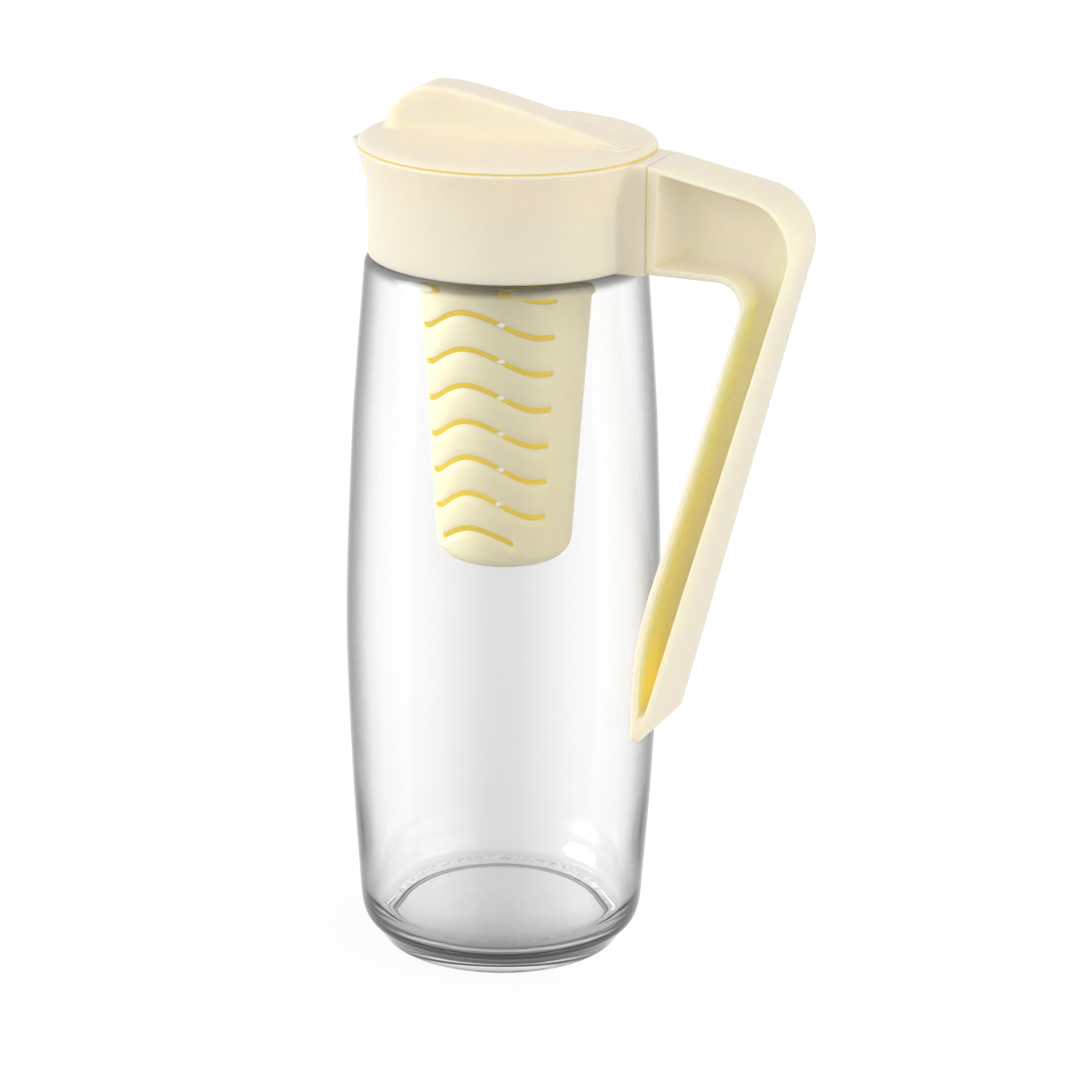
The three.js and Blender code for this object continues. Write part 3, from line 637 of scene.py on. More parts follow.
SILICONE = grained_material(
    "soft_silicone", metallic=0.0, roughness=0.62, cloud_scale=60.0, dark=(0.76, 0.73, 0.65),
    light=(0.82, 0.79, 0.71), grain_scale=700.0, strength=0.25, depth=0.1)
STEEL = grained_material(
    "turned_steel", metallic=1.0, roughness=0.3, cloud_scale=300.0, dark=(0.55, 0.56, 0.57),
    light=(0.66, 0.67, 0.68), grain_scale=1500.0, strength=0.2, depth=0.05)


# Glass jug
def glass_outline():
    """The jug's outer wall from the foot to the shoulder."""
    foot = BASE_R - FOOT_IN
    shares = [(0, 0), (0.14, 0.22), (0.3, 0.49), (0.46, 0.78), (0.68, 0.93), (1, 1)]
    base = [(foot + FOOT_IN * r, BASE_Z * h) for h, r in shares]
    top = SHOULDER_Z - SHOULDER_RISE
    belly = 0.44
    body = []
    for h, r in [(0.19, 0.58), (belly, 1), (0.71, 0.715), (0.85, 0.415), (1, 0)]:
        end = BASE_R if h < belly else SHOULDER_R
        body.append((end + (BELLY_R - end) * r, BASE_Z + (top - BASE_Z) * h))
    low = spline(base, 6)
    high = spline([base[-1], *body], 14)
    return np.vstack([low[:-1], high])


def glass_profile():
    outer = glass_outline()
    top = SHOULDER_Z - SHOULDER_RISE
    inside_top = SHOULDER_Z - SHOULDER_WALL
    rim = RIM_Z - RIM_ROUND
    floor_fall = FLOOR_Z + FLOOR_LIP - CORNER_Z
    inside = []
    for r, z in outer:
        thicker = BASE_THICKENING * float(ease((THICKENING_TOP - z) / THICKENING_RUN))
        inside.append((r - GLASS_WALL - thicker, z))
    inner = [(r, z) for r, z in inside if CORNER_Z < z < inside_top - 0.5][::-1]
    return [
        (0, RECESS_Z), (RECESS_R - 0.7, RECESS_Z), (RECESS_R, RECESS_Z), (36.4, 1.3), (36.9, 0.4),
        (FOOT_RING_IN, 0.0), (FOOT_RING_OUT, 0.0), (39.7, 0.25),
        *outer[1:-1],
        *quarter_oval(SHOULDER_R, SKIRT_BORE, top, SHOULDER_RISE),
        (NECK_R + 0.4, SHOULDER_Z + NECK_CORNER), (NECK_R, SHOULDER_Z + 2 * NECK_CORNER),
        *quarter_oval(NECK_R, NECK_R - RIM_ROUND, rim, RIM_ROUND, 5),
        *quarter_oval(NECK_BORE, NECK_BORE + RIM_ROUND, rim, RIM_ROUND, 5)[::-1],
        *quarter_oval(inner[0][0] - EDGE_STEP, NECK_BORE, inside_top, SHOULDER_INSIDE_RISE, 16)[::-1],
        *inner,
        *quarter_oval(inner[-1][0] - EDGE_STEP, FLOOR_R, CORNER_Z - FLOOR_LIP, floor_fall, 16),
        (FLOOR_R - 0.8, FLOOR_Z), (FLOOR_R - 1.8, FLOOR_Z), (0, FLOOR_Z)]


def make_glass():
    obj = new_object("jug_glass", *lathe(glass_profile(), steps=192))
    crest = NECK_R + THREAD_DEPTH
    add_threads(obj, NECK_R - THREAD_BITE, crest, RIM_Z - NECK_THREAD_DROP, NECK_THREAD_SHARE)
    finish_piece(obj, GLASS, "jug", "glass_jug", crease=60)


def add_threads(obj, root, crest, bottom, share, steps=64):
    """Soft thread ridges, which fade in and out, each over a share of a turn."""
    for start in range(THREAD_STARTS):
        rings = []
        for i in range(steps + 1):
            turn = share * i / steps
            angle = TURN * (turn + start / THREAD_STARTS)
            z = bottom + THREAD_LEAD * turn
            fade = float(ease(min(i, steps - i) / (steps * THREAD_FADE_SHARE)))
            top = root + (crest - root) * (0.25 + 0.75 * fade)
            flank, brow = root + (top - root) * 0.55, top - (top - root) * 0.12
            above = [(top, THREAD_CREST), (brow, THREAD_HALF / 2), (flank, 0.85), (root, THREAD_HALF)]
            around = [(r, -up) for r, up in above[::-1]] + above
            rings.append([(r * math.cos(angle), r * math.sin(angle), z + up) for r, up in around])
        join(obj, tube("thread", rings), "UNION")


# Infuser cup: a grid whose lines follow the slots' wave
def cup_point(p):
    """Outer surface point and outward normal at a place along the cup's side, corner and floor."""
    slope = (CUP_TOP_R - CUP_R) / (CUP_TOP - CUP_BOTTOM)
    side = CUP_BOTTOM + CUP_CORNER
    p = np.asarray(p, float)
    corner_r = CUP_R + slope * CUP_CORNER - CUP_CORNER
    angle = np.clip((side - p) / CUP_CORNER, 0, math.pi / 2)
    floor = np.maximum(0, side - CUP_CORNER * math.pi / 2 - p)
    up = np.maximum(0, p - side)
    radius = corner_r + CUP_CORNER * np.cos(angle) + slope * up - floor
    height = side - CUP_CORNER * np.sin(angle) + up
    return np.maximum(radius, 0), height, np.cos(angle), -np.sin(angle)


def cup_angles():
    """Places across one panel's half turn, in degrees from its middle, closer at the slots' ends."""
    places = list(np.arange(-90, 90, 1.5))
    for end in (SLOT_HALF, SHORT_SLOT_HALF):
        places += [end - near for near in (0.0, 0.15, 0.45, 0.9, 1.9)]
    for end in (SLOT_BACK, SHORT_SLOT_HALF):
        places += [near - end for near in (0.0, 0.4, 1.0)]
    return np.array(sorted(set(places)))


def cup_rows():
    """Places along the cup's side, as (place, slot it belongs to, offset from that slot's middle)."""
    side = CUP_BOTTOM + CUP_CORNER
    low = side - CUP_CORNER * math.pi / 2
    radius = float(cup_point(low)[0])
    rows = [(low - radius * share, None, 0) for share in (0.995, 0.8, 0.5, 0.2, 0.05)]
    rows += [(p, None, 0) for p in np.linspace(low, side, 10)[:-1]]
    offsets = [SLOT_HEIGHT / 2 + away for away in (0, 0.08, 0.25, 0.55, 1.0, 1.6, 2.3, 3.2, 4.2)]
    for k in range(SLOT_ROWS - 1, -1, -1):
        middle = SLOT_TOP - k * SLOT_PITCH
        below = offsets if k < SLOT_ROWS - 1 else offsets[:-1]
        rows += [(middle - o, k, -o) for o in below[::-1]] + [(middle + o, k, o) for o in offsets]
    start = SLOT_TOP + ABOVE_SLOTS
    rows += [(p, None, 0) for p in np.linspace(start, CUP_TOP - 0.5, 12)] + [(CUP_TOP, None, 0)]
    return rows


def slot_fall(away, p):
    """How far the cup's lines fall from the slots' crest, level beyond the foot of the fall."""
    low_slot = SLOT_TOP - (SLOT_ROWS - 1) * SLOT_PITCH
    run = np.where(away < 0, BACK_FALL_ANGLE, FALL_ANGLE)
    along = np.minimum(np.abs(away) / run, 1)
    full = SHORT_SLOT_FALL + (SLOT_FALL - SHORT_SLOT_FALL) * ease(p - low_slot, *FALL_GROWS)
    fall = full * (1 - np.cos(math.pi * along)) / 2
    return fall * ease(p - low_slot, *FALL_BEGINS) * (1 - ease(p - SLOT_TOP, *FALL_ENDS))


def slot_end(away, row):
    """How far from its panel's middle a row's slot ends, on the side where a place lies."""
    if row == SLOT_ROWS - 1:
        return np.full(len(away), SHORT_SLOT_HALF)
    return np.where(away < 0, SLOT_BACK, SLOT_HALF)


def slot_half_height(away, end):
    """Half the slot's height: square at one end, round at the other, back to plain beyond."""
    over = np.clip((np.abs(away) - (end - SLOT_END_RUN)) / SLOT_END_RUN, 0, 1)
    least = np.where(away > 0, SLOT_ROUND_SHARE, SLOT_SQUARE_SHARE)
    shut = np.sqrt(1 - over ** 2)
    half = SLOT_HEIGHT / 2 * (least + (1 - least) * shut)
    return half + (SLOT_HEIGHT / 2 - half) * ease((np.abs(away) - end) / SLOT_END_FADE)


def make_infuser():
    away = cup_angles()
    rows = cup_rows()
    p_rows, relief_rows = [], []
    for place, k, offset in rows:
        end = slot_end(away, k)
        half = slot_half_height(away, end)
        beside = abs(offset) - SLOT_HEIGHT / 2
        pull, groove, bulge, round_edge = 0, 0, PLAIN_BULGE_SHARE, 0
        if k is not None:
            pull = (SLOT_HEIGHT / 2 - half) * math.exp(-beside / SLOT_PULL_RUN)
            groove = 1 - ease(beside, *GROOVE_FADES)
            bulge = ease(beside, *BULGE_GROWS)
            round_edge = SLOT_EDGE_ROUND * (1 - ease(beside, *EDGE_FADES))
        reach = 1 - ease(np.abs(away) - end, *RELIEF_FADES)
        p_rows.append(place - np.sign(offset) * pull - slot_fall(away, place))
        relief_rows.append(reach * (SLOT_BULGE * bulge - SLOT_GROOVE * groove - round_edge))
    p_rows = np.tile(np.array(p_rows), (1, 2))
    relief = np.tile(np.array(relief_rows), (1, 2))
    relief[-1] -= CUP_TOP_ROUND
    angles = np.radians(np.concatenate([away + PANEL_ANGLE, away + PANEL_ANGLE + 180]))
    radius, height, out, up = cup_point(p_rows)

    def surface(offset):
        r = radius + out * offset
        return np.stack([r * np.cos(angles), r * np.sin(angles), height + up * offset], -1)

    outer = surface(relief)
    inner_offset = np.full_like(relief, -CUP_WALL)
    inner_offset[-1] += CUP_TOP_ROUND
    inner = surface(inner_offset)
    count_rows, count = p_rows.shape
    total = count_rows * count
    local = np.tile(away, 2)
    faces = []

    def corner(i, j):
        return i * count + j % count

    open_cell = np.zeros((count_rows - 1, count), bool)
    for i, (low, high) in enumerate(zip(rows, rows[1:])):
        if low[1] is None or low[1] != high[1] or low[2] != -high[2]:
            continue
        end = slot_end(local, low[1])
        after = np.roll(local, -1)
        inside = (np.abs(local) <= end + TINY) & (np.abs(after) <= slot_end(after, low[1]) + TINY)
        open_cell[i] = inside & (after > local)
    for i in range(count_rows - 1):
        for j in range(count):
            quad = (corner(i, j), corner(i, j + 1), corner(i + 1, j + 1), corner(i + 1, j))
            if not open_cell[i, j]:
                faces.append(quad)
                faces.append(tuple(total + q for q in quad[::-1]))
                continue
            a, b, c, d = quad
            faces += [(a, b, total + b, total + a), (c, d, total + d, total + c)]
            if not open_cell[i, j - 1]:
                faces.append((d, a, total + a, total + d))
            if not open_cell[i, (j + 1) % count]:
                faces.append((b, c, total + c, total + b))
    top = (count_rows - 1) * count
    for j in range(count):
        n = (j + 1) % count
        faces.append((top + j, top + n, total + top + n, total + top + j))
        faces.append((j, 2 * total, n))
        faces.append((total + n, 2 * total + 1, total + j))
    points = np.vstack([outer.reshape(-1, 3), inner.reshape(-1, 3),
                        [[0, 0, CUP_BOTTOM], [0, 0, CUP_BOTTOM + CUP_WALL]]])
    obj = new_object("infuser_cup", points, faces)
    width = (LUG_WIDTH + 2 * LUG_PLAY) / SOCKET_R
    low, high = LUG_Z - LUG_HEIGHT / 2 - LUG_PLAY, LUG_Z + LUG_HEIGHT / 2 + LUG_PLAY
    for i in range(LUG_COUNT):
        angle = TURN * i / LUG_COUNT + math.pi / 2
        join(obj, sector(*LUG_CUT, low, high, angle - CUP_TWIST / 2, width + CUP_TWIST, 24), "DIFFERENCE")
        join(obj, sector(*LUG_CUT, low, CUP_TOP + 2, angle - CUP_TWIST, width), "DIFFERENCE")
    finish_piece(obj, CUP_CREAM, "infuser", "infuser", crease=50)


# Lid cap: rings of points that pass from the fin's crest down its sides and out over the disc
def fin_plan(count):
    """The fin's outline seen from above, with its outward directions and the crest point behind each."""
    turn = math.asin(FIN_HALF / FIN_TAIL_R)
    nose = arc((FIN_HALF - FIN_FRONT, 0), FIN_HALF, 1.5 * math.pi, 0.5 * math.pi, 399)
    tail = arc((FIN_END - FIN_TAIL_R, 0), FIN_TAIL_R, turn, -turn, 199)
    path = np.array(nose + tail + nose[:1])
    length = np.concatenate([[0], np.cumsum(np.hypot(*np.diff(path, axis=0).T))])
    at = np.linspace(0, length[-1], count, endpoint=False)
    plan = np.stack([np.interp(at, length, path[:, 0]), np.interp(at, length, path[:, 1])], -1)
    ahead = np.roll(plan, -1, 0) - np.roll(plan, 1, 0)
    normal = np.stack([-ahead[:, 1], ahead[:, 0]], -1)
    normal /= np.linalg.norm(normal, axis=1, keepdims=True)
    for _ in range(6):
        normal = normal + np.roll(normal, 1, 0) + np.roll(normal, -1, 0)
        normal /= np.linalg.norm(normal, axis=1, keepdims=True)
    middle = np.clip(plan[:, 0], FIN_HALF - FIN_FRONT, FIN_END - FIN_TAIL_IN)
    return plan, normal, np.stack([middle, 0 * middle], -1)


def disc_height(x, y):
    """The lid disc's top, slightly crowned."""
    share = np.clip(np.hypot(x, y) / (LID_R - LID_EDGE_RUN), 0, 1)
    return LID_TOP + LID_CROWN * (1 - share)


def fin_height(x):
    """The fin's top along X: a steep round nose, a peak, then a long slope."""
    shares = [(0, 0), (0.13, 0.035), (0.36, 0.225), (0.58, 0.46), (0.81, 0.74), (1, 1)]
    run, fall = FIN_PEAK + FIN_END, FIN_TOP - FIN_END_Z
    slope = spline([(-FIN_PEAK + run * a, FIN_TOP - fall * b) for a, b in shares], 12)
    low = LID_TOP - 1
    share = np.clip((-x - FIN_PEAK) / (FIN_FRONT - FIN_PEAK), 0, 1)
    nose = low + (FIN_TOP - low) * (1 - share ** FIN_NOSE_POWER) ** (1 / FIN_NOSE_POWER)
    return np.where(x < -FIN_PEAK, nose, np.interp(x, slope[:, 0], slope[:, 1]))


def close_strip(ring):
    """Triangles that close a long thin loop of points, rung by rung from one end to the other."""
    count = len(ring)
    last = int(np.argmax(ring[:, 0]))
    near = far = int(np.argmin(ring[:, 0]))
    faces = []
    while near != last or far != last:
        ahead, behind = (near + 1) % count, (far - 1) % count
        if far == last or (near != last and ring[ahead, 0] <= ring[behind, 0]):
            rung = (ahead, near, far)
            near = ahead
        else:
            rung = (far, behind, near)
            far = behind
        if len(set(rung)) == 3:
            faces.append(rung)
    return faces


def make_lid(count=360):
    plan, normal, crest = fin_plan(count)
    rings = []
    for share in (0.03, 0.2, 0.4, 0.6, 0.75):
        ring = crest + (plan - FIN_EDGE * normal - crest) * share
        rings.append(np.column_stack([ring, fin_height(ring[:, 0])]))
    wall_top = fin_height(plan[:, 0])
    floor = disc_height(plan[:, 0], plan[:, 1])
    stand = np.maximum(wall_top - floor, 0.0)
    edge = np.minimum(FIN_EDGE, FIN_EDGE_SHARE * stand)
    for a in np.linspace(0, math.pi / 2, 8):
        inset = FIN_EDGE - edge * math.sin(a)
        ring = plan - normal * inset[:, None]
        height = np.maximum(fin_height(ring[:, 0]), floor) - edge * (1 - math.cos(a))
        rings.append(np.column_stack([ring, height]))
    last = rings[-1]
    out = (FIN_EDGE - edge)[:, None]
    fillet = np.minimum(FIN_FILLET, FIN_FILLET_SHARE * np.maximum(last[:, 2] - floor, 0.02))
    for drop in np.linspace(0.15, 0.9, 5):
        z = last[:, 2] + (floor + fillet - last[:, 2]) * drop
        rings.append(np.column_stack([last[:, :2] + normal * (out * drop + FIN_DRAFT * drop), z]))
    for a in np.linspace(0, math.pi / 2, 9):
        away = out + FIN_DRAFT + (fillet * (1 - math.cos(a)))[:, None]
        ring = last[:, :2] + normal * away
        height = disc_height(ring[:, 0], ring[:, 1]) + fillet * (1 - math.sin(a))
        rings.append(np.column_stack([ring, height]))
    base = rings[-1][:, :2]
    angle = np.unwrap(np.arctan2(base[:, 1], base[:, 0]))
    even = angle[0] + (angle[-1] - angle[0]) * np.arange(count) / (count - 1)
    rim = LID_R - LID_EDGE_RUN
    for share in (0.12, 0.3, 0.5, 0.7, 0.87, 1.0):
        heading = angle + (even - angle) * share * 0.5
        circle = np.column_stack([rim * np.cos(heading), rim * np.sin(heading)])
        ring = base + (circle - base) * share
        rings.append(np.column_stack([ring, disc_height(ring[:, 0], ring[:, 1])]))
    direction = rings[-1][:, :2] / rim
    edge_profile = quarter_oval(LID_R, rim, LID_TOP - LID_EDGE_DROP, LID_EDGE_DROP)[::-1][1:]
    edge_profile.append((LID_R, LID_BOTTOM + LID_UNDER_EDGE))
    edge_profile += [(r, LID_BOTTOM) for r in (LID_R - LID_UNDER_EDGE, LID_R - 6, 20, 1)]
    for radius, z in edge_profile:
        rings.append(np.column_stack([direction * radius, np.full(count, z)]))
    end = (len(rings) - 1) * count
    faces = grid_faces(len(rings), count, False, True) + close_strip(rings[0])
    faces.append(tuple(range(end, end + count)))
    obj = new_object("lid_disc", rings, faces)
    finish_piece(obj, CREAM, "lid", "lid_cap", crease=50)


# Handle: sections across the bar, each with a pocket on both sides
def outer_face(z):
    """How far out the leaning outer face stands at a height."""
    return TIP_X + (z - TIP_Z) * math.tan(HANDLE_LEAN)


def handle_half(z):
    """Half the bar's width, which grows downwards from the bracket."""
    return BLOCK_HALF + np.maximum(0, BRACKET_Z - z) * FLARE_SHARE / 2


def handle_stations():
    """Pairs of inner and outer points along the bar, each with its distance from the seam."""
    touch = CORNER[0] + CORNER_R * math.sin(TOP_SLOPE)
    pairs = []
    shares = [0, 0.015, 0.05, 0.085, 0.11, 0.122, 0.13, 0.14, 0.155, 0.175, 0.2, 0.23, 0.27, 0.33, 0.42,
              0.55, 0.7, 0.85]
    for t in shares:
        top_x = SEAM_X + (touch - SEAM_X) * t
        top_z = COLLAR_TOP - (top_x - SEAM_X) * math.tan(TOP_SLOPE)
        low_x = SEAM_X + (BEND[0] - SEAM_X) * t
        pairs.append(((low_x, BRACKET_Z), (top_x, top_z), low_x - SEAM_X))
    steps = 26
    inner = arc(BEND, BEND_R, math.pi / 2, -INNER_LEAN, steps)
    outer = arc(CORNER, CORNER_R, math.pi / 2 - TOP_SLOPE, -HANDLE_LEAN, steps)
    bar = list(zip(inner, outer))
    knee_top = KNEE_Z + KNEE_RUN
    knee_x = LEG_X + KNEE_RUN * math.tan(INNER_LEAN)
    start_in, start_out = inner[-1], outer[-1]
    for t in np.linspace(0, 1, 22)[1:]:
        z_in = start_in[1] + (knee_top - start_in[1]) * t
        z_out = start_out[1] + (knee_top - start_out[1]) * t
        bar.append(((start_in[0] + (knee_x - start_in[0]) * t, z_in), (outer_face(z_out), z_out)))
    knee = spline([(knee_x + 4.8, knee_top + KNEE_RUN), (knee_x, knee_top), (LEG_X + 1.25, KNEE_Z),
                   (LEG_X, KNEE_Z - KNEE_RUN), (LEG_X, KNEE_Z - 2 * KNEE_RUN)], 10)[11:31]
    bar += [((x, z), (outer_face(z), z)) for x, z in knee]
    low = TIP_Z + TIP_R
    bar += [((LEG_X, z), (outer_face(z), z)) for z in np.linspace(knee[-1][1], low, 10)[1:-1]]
    right = outer_face(low) - TIP_R / math.cos(HANDLE_LEAN)
    left_arc = arc((LEG_X + TIP_R, low), TIP_R, math.pi, 1.5 * math.pi, 8)
    right_arc = arc((right, low), TIP_R, -HANDLE_LEAN, -math.pi / 2, 8)
    bar += zip(left_arc, right_arc)
    return pairs + [(a, b, FAR_FROM_SEAM) for a, b in bar]


def handle_section(start, end, depth):
    """Half of a section, as (mm across the bar, cut from its half width, share of the pocket's depth)."""
    span = math.hypot(end[0] - start[0], end[1] - start[1])
    edge = min(HANDLE_EDGE, span * 0.3)
    lip_in, lip_out = min(INNER_LIP, span * 0.42), min(OUTER_LIP, span * 0.3)
    room = max(span - lip_in - lip_out, 0.02)
    fillet = min(POCKET_FILLET, room * 0.42)
    draft = min(POCKET_DRAFT, room * 0.06)
    wall, bottom = 0.68, 0.32
    corner = np.linspace(0, math.pi / 2, 6)
    half = [(edge * (1 - math.cos(a)), -edge * (1 - math.sin(a)), 0) for a in corner]
    half += [(lip_in - 0.3, 0, 0), (lip_in - 0.1, -0.04, 0.0), (lip_in + 0.05, -0.1, 0.02)]
    for share in (0.12, 0.3, 0.5, wall):
        half.append((lip_in + draft * share / wall, 0, share))
    for a in np.linspace(0.15, 1, 7) * math.pi / 2:
        half.append((lip_in + draft + fillet * (1 - math.cos(a)), 0, wall + bottom * math.sin(a)))
    level = room - 2 * draft - 2 * fillet
    middle = [(lip_in + draft + fillet + level * t, 0, 1.0) for t in (0.25, 0.5, 0.75)]
    far = []
    for t, cut, share in half[::-1]:
        if t <= edge + TINY and share == 0:
            far.append((span - t, cut, share))
        else:
            far.append((span - lip_out - (t - lip_in), cut, share))
    return [(min(max(t, 0), span), cut, share * depth) for t, cut, share in half + middle + far], span


def tongue_block(to_x, play=0.0):
    """The handle's tongue or, with play, the room for it in the collar's block."""
    half, high = TONGUE_HALF + play, TONGUE_HALF_HEIGHT + play
    return block((TONGUE_FACE - play, -half, TONGUE_Z - high), (to_x, half, TONGUE_Z + high))


def make_handle():
    rings = []
    for index, (start, end, from_seam) in enumerate(handle_stations()):
        lead = np.clip((from_seam - FRONT_LIP + POCKET_LEAD) / POCKET_RUN, 0, 1)
        depth = float(1 - (1 - lead) ** POCKET_CURVE)
        if from_seam == FAR_FROM_SEAM:
            depth *= float(ease((min(start[1], end[1]) - POCKET_TIP) / POCKET_TIP_RUN))
        outline, span = handle_section(start, end, depth)
        along = [(b - a) / max(span, TINY) for a, b in zip(start, end)]
        soft = SEAM_EDGE if index == 0 else 0.0
        upper = []
        for t, cut, share in outline:
            t = min(max(t, soft), span - soft)
            x, z = start[0] + along[0] * t, start[1] + along[1] * t
            half = float(handle_half(z))
            upper.append((x, half + cut - soft - (half - WEB_HALF) * share, z))
        rings.append(upper + [(x, -y, z) for x, y, z in upper[::-1]])
    count = len(rings[0])
    faces = grid_faces(len(rings), count, False, True)
    for base, flip in ((0, False), ((len(rings) - 1) * count, True)):
        for k in range(count // 2 - 1):
            quad = (base + k, base + k + 1, base + count - 2 - k, base + count - 1 - k)
            faces.append(quad[::-1] if flip else quad)
    obj = new_object("side_handle", rings, faces)
    join(obj, tongue_block(SEAM_X + 0.6), "UNION")
    for z in SCREW_HEIGHTS:
        join(obj, cross_rod(SCREW_BORE_R, TONGUE_FACE - 2, HANDLE_BORE_END, z), "DIFFERENCE")
    finish_piece(obj, HANDLE_CREAM, "collar", "handle", crease=50)


# Collar: one closed section at each angle, which carries the flare, the spout and the block
def spout_lip(angle):
    """How far the straight-sided lip reaches out at an angle, from none to one at its tip."""
    away = abs(math.atan2(math.sin(angle - math.pi), math.cos(angle - math.pi)))
    if away >= SPOUT_HALF:
        return 0.0
    side = math.acos(RIM_R / SPOUT_REACH) - away
    reach = RIM_R / math.cos(max(0.0, side))
    return (reach - RIM_R) / (SPOUT_REACH - RIM_R)


def collar_outer(z):
    """The collar's flared outer radius, without spout and block."""
    rise = max(0.0, (z - FLARE_START) / (COLLAR_TOP - FLARE_START))
    return COLLAR_R + FLARE_OUT * rise * rise


def spout_rise(z):
    return max(0.0, (z - SPOUT_START) / (COLLAR_TOP - SPOUT_START))


def spout_pull(angle, z):
    """How far the spout pulls the wall out."""
    return (SPOUT_REACH - RIM_R) * spout_lip(angle) * spout_rise(z) ** 3


def block_exit(angle):
    """Where a ray from the axis leaves the block, or nothing beside it."""
    if math.cos(angle) <= 0.5:
        return 0.0
    x = BLOCK_FACE / math.cos(angle)
    y = BLOCK_HALF / max(abs(math.sin(angle)), TINY)
    if min(x, y) < COLLAR_R - 6:
        return 0.0
    return (x ** -BLOCK_SHARPNESS + y ** -BLOCK_SHARPNESS) ** (-1 / BLOCK_SHARPNESS)


def soft_max(a, b, blend):
    """The larger of two lengths, rounded where they cross."""
    near = max(blend - abs(a - b), 0.0) / blend
    return max(a, b) + near * near * blend / 4


def collar_angles():
    """Angles round the collar, close together over the block's sides and the spout."""
    corner = math.degrees(math.atan2(BLOCK_HALF, BLOCK_FACE))
    side = [0, 2.5, 5, 7.5, 10, 11.5, 12.5, 13, 13.3, 13.5, 13.6, 13.7, 13.8, 13.95, 14.15, 14.4, 14.7, 15,
            15.3, 15.6, 15.85, 16.05, 16.2, 16.35, 16.5, 16.65, 16.8, 17.0, 17.2, 17.5, 17.9, 18.4, 19, 20,
            21.5, 23.5, corner]
    around = [round(a, 3) for a in [*np.arange(26, 150, 2.5), *np.arange(150, 180, 1.0)]]
    half = [math.radians(a) for a in sorted(set(side + around))]
    return half + [math.pi] + [TURN - a for a in half[:0:-1]]


def make_collar():
    rings = []
    heights = [238.0, 239, 241, 243.5, 246, 248.5, 251, 253, 255, 257, 259, 261, 263, 264.5, 266, 267.3,
               268.5, 269.6, 270.6, 271.4, 272.1, 272.6]
    for angle in collar_angles():
        reach = block_exit(angle)

        def outside(z):
            plain = collar_outer(z) + spout_pull(angle, z)
            blend = BLOCK_BLEND + BLOCK_BLEND_MORE * float(ease(z, *BLEND_GROWS))
            return soft_max(plain, reach, blend) if reach else plain

        def inside(z):
            return collar_outer(z) - COLLAR_WALL + spout_pull(angle, z)

        def dip(z):
            return z - SPOUT_DIP * spout_lip(angle) * spout_rise(z) ** 8

        base = outside(heights[0])
        top = outside(heights[-1]) - COLLAR_RIM
        profile = [(r, COLLAR_BOTTOM) for r in (SKIRT_BORE, SKIRT_BORE + 0.8, base - 0.5)]
        profile.append((base - SMALL_EDGE, COLLAR_BOTTOM + SMALL_EDGE))
        profile += [(outside(z), dip(z)) for z in heights]
        for a in np.linspace(0, math.pi / 2, 5)[1:]:
            rise = dip(COLLAR_TOP - COLLAR_RIM_RISE) + COLLAR_RIM_RISE * math.sin(a)
            profile.append((top + COLLAR_RIM * math.cos(a), rise))
        inner_top = RIM_R - COLLAR_WALL + spout_pull(angle, COLLAR_TOP)
        for r in (inner_top + (top - inner_top) * 0.3, inner_top + SMALL_EDGE):
            profile.append((r, dip(COLLAR_TOP)))
        profile += [(inside(z), dip(z)) for z in (273.1, 272.4, 271, 269.5, 268, 266.6)]
        profile += [(inside(WALL_FOOT_Z), WALL_FOOT_Z), (WEB_BORE + 1.5, WEB_TOP + SMALL_EDGE),
                    (WEB_BORE + 0.3, WEB_TOP), (WEB_BORE, WEB_TOP - 0.3), (WEB_BORE, WEB_BOTTOM),
                    (SKIRT_BORE, WEB_BOTTOM)]
        rings.append([(r * math.cos(angle), r * math.sin(angle), z) for r, z in profile])
    obj = new_object("pouring_collar", rings, grid_faces(len(rings), len(rings[0]), True, True))
    crest = NECK_R + SKIRT_THREAD_GAP
    add_threads(obj, SKIRT_BORE + THREAD_BITE, crest, RIM_Z - SKIRT_THREAD_DROP, SKIRT_THREAD_SHARE)
    join(obj, tongue_block(BLOCK_FACE + 2, TONGUE_PLAY), "DIFFERENCE")
    for z in SCREW_HEIGHTS:
        join(obj, cross_rod(SCREW_HEAD_R, NECK_R, SCREW_SEAT, z), "DIFFERENCE")
        join(obj, cross_rod(SCREW_BORE_R, NECK_R, COLLAR_BORE_END, z), "DIFFERENCE")
    finish_piece(obj, CREAM, "collar", "collar", crease=50)


# Stage, light and camera
def studio():
    mesh = bpy.data.meshes.new("floor")
    corners = [(x * FLOOR_HALF, y * FLOOR_HALF, 0) for x, y in ((-1, -1), (1, -1), (1, 1), (-1, 1))]
    mesh.from_pydata(corners, [], [(0, 1, 2, 3)])
    floor = bpy.data.objects.new("floor", mesh)
    floor.location.z = -FLOOR_DROP
    bpy.context.scene.collection.objects.link(floor)
    material, tree = new_material("pale_floor")
    plain = add_node(tree, "BsdfDiffuse", {"Color": FLOOR_PLAIN})
    shaded = add_node(tree, "BsdfDiffuse", {"Color": FLOOR_SHADE})
    glow = add_node(tree, "Emission", {"Color": FLOOR_GLOW})
    both = add_node(tree, "AddShader", {0: glow.outputs[0], 1: shaded.outputs[0]})
    to_output(tree, mix_shader(tree, seen_rays(tree), plain, both))
    floor.data.materials.append(material)


def seen_rays(tree):
    """One where a surface is seen directly, in a reflection or through glass."""
    path = add_node(tree, "LightPath").outputs
    value = path["Is Camera Ray"]
    for name in ("Is Glossy Ray", "Is Transmission Ray"):
        value = calculate(tree, "MAXIMUM", value, path[name])
    return value


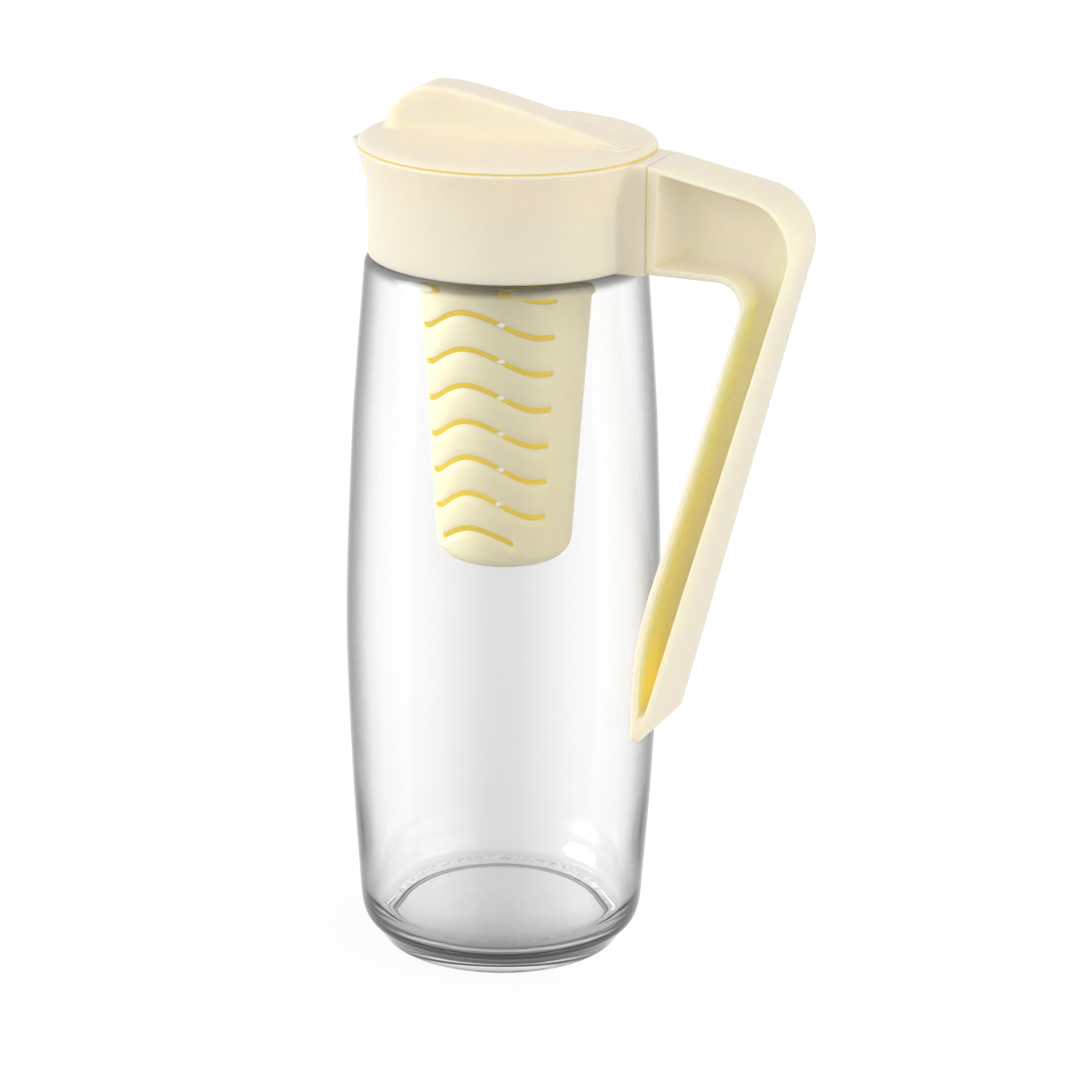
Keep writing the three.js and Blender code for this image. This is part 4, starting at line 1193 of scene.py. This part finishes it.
def light_world():
    world = bpy.data.worlds.new("studio")
    bpy.context.scene.world = world
    world.use_nodes = True
    tree = world.node_tree
    tree.nodes.clear()
    soft = add_node(tree, "Background", {"Color": WHITE, "Strength": WORLD_STRENGTH})
    bright = add_node(tree, "Background", {"Color": WHITE})
    to_output(tree, mix_shader(tree, seen_rays(tree), soft, bright), "OutputWorld")


def add_sun(name, strength, tint, azimuth, elevation, spread):
    """A soft distant lamp: azimuth 0 shines from the front, and turns to the right."""
    light = bpy.data.lights.new(name, "SUN")
    light.energy = strength
    light.color = tint
    light.angle = math.radians(spread)
    lamp = bpy.data.objects.new(name, light)
    a, e = math.radians(azimuth), math.radians(elevation)
    source = Vector((math.sin(a) * math.cos(e), -math.cos(a) * math.cos(e), math.sin(e)))
    lamp.rotation_euler = source.to_track_quat("Z", "Y").to_euler()
    bpy.context.scene.collection.objects.link(lamp)


def add_camera():
    data = bpy.data.cameras.new("photo_view")
    data.sensor_width = SENSOR
    data.lens = CAMERA_LENS
    camera = bpy.data.objects.new("photo_view", data)
    place = to_world(
        [CAMERA_AWAY * math.sin(CAMERA_ROUND), -CAMERA_AWAY * math.cos(CAMERA_ROUND), CAMERA_UP])
    level = math.cos(CAMERA_TILT)
    ahead = Vector((-math.sin(CAMERA_TURN) * level, math.cos(CAMERA_TURN) * level, -math.sin(CAMERA_TILT)))
    right = ahead.cross(Vector((0, 0, 1))).normalized()
    up = right.cross(ahead)
    turn = Matrix.Rotation(-CAMERA_ROLL, 3, ahead)
    right, up = turn @ right, turn @ up
    axes = Matrix((right, up, -ahead)).transposed().to_4x4()
    camera.matrix_world = Matrix.Translation(place) @ axes
    bpy.context.scene.collection.objects.link(camera)
    bpy.context.scene.camera = camera


def dress(node, material):
    """Gives a CAD node its finish."""
    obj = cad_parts[node]
    obj.data.materials.clear()
    obj.data.materials.append(material)
    obj.data.shade_smooth()
    edges = obj.modifiers.new("soft_edges", "BEVEL")
    edges.width = DRESS_EDGE * MM
    edges.segments = 2
    edges.limit_method = "ANGLE"
    edges.angle_limit = math.radians(35)
    edges.harden_normals = True


add_camera()
studio()
light_world()
add_sun("key", 1.68, (0.98, 0.99, 1.0), azimuth=-60, elevation=18, spread=40)
add_sun("fill", 1.2, (1.0, 0.98, 0.95), azimuth=78, elevation=20, spread=60)
add_sun("front", 0.22, (1.0, 1.0, 1.0), azimuth=25, elevation=6, spread=50)
add_sun("back", 0.15, (1.0, 1.0, 1.0), azimuth=190, elevation=45, spread=60)
make_glass()
make_lid()
make_handle()
make_collar()
dress("lid_plug", CREAM)
make_infuser()
for name in ("neck_gasket", "lid_seal"):
    dress(name, SILICONE)
for name in ("handle_screw_upper", "handle_screw_lower"):
    dress(name, STEEL)

bpy.context.scene.view_settings.view_transform = "Standard"
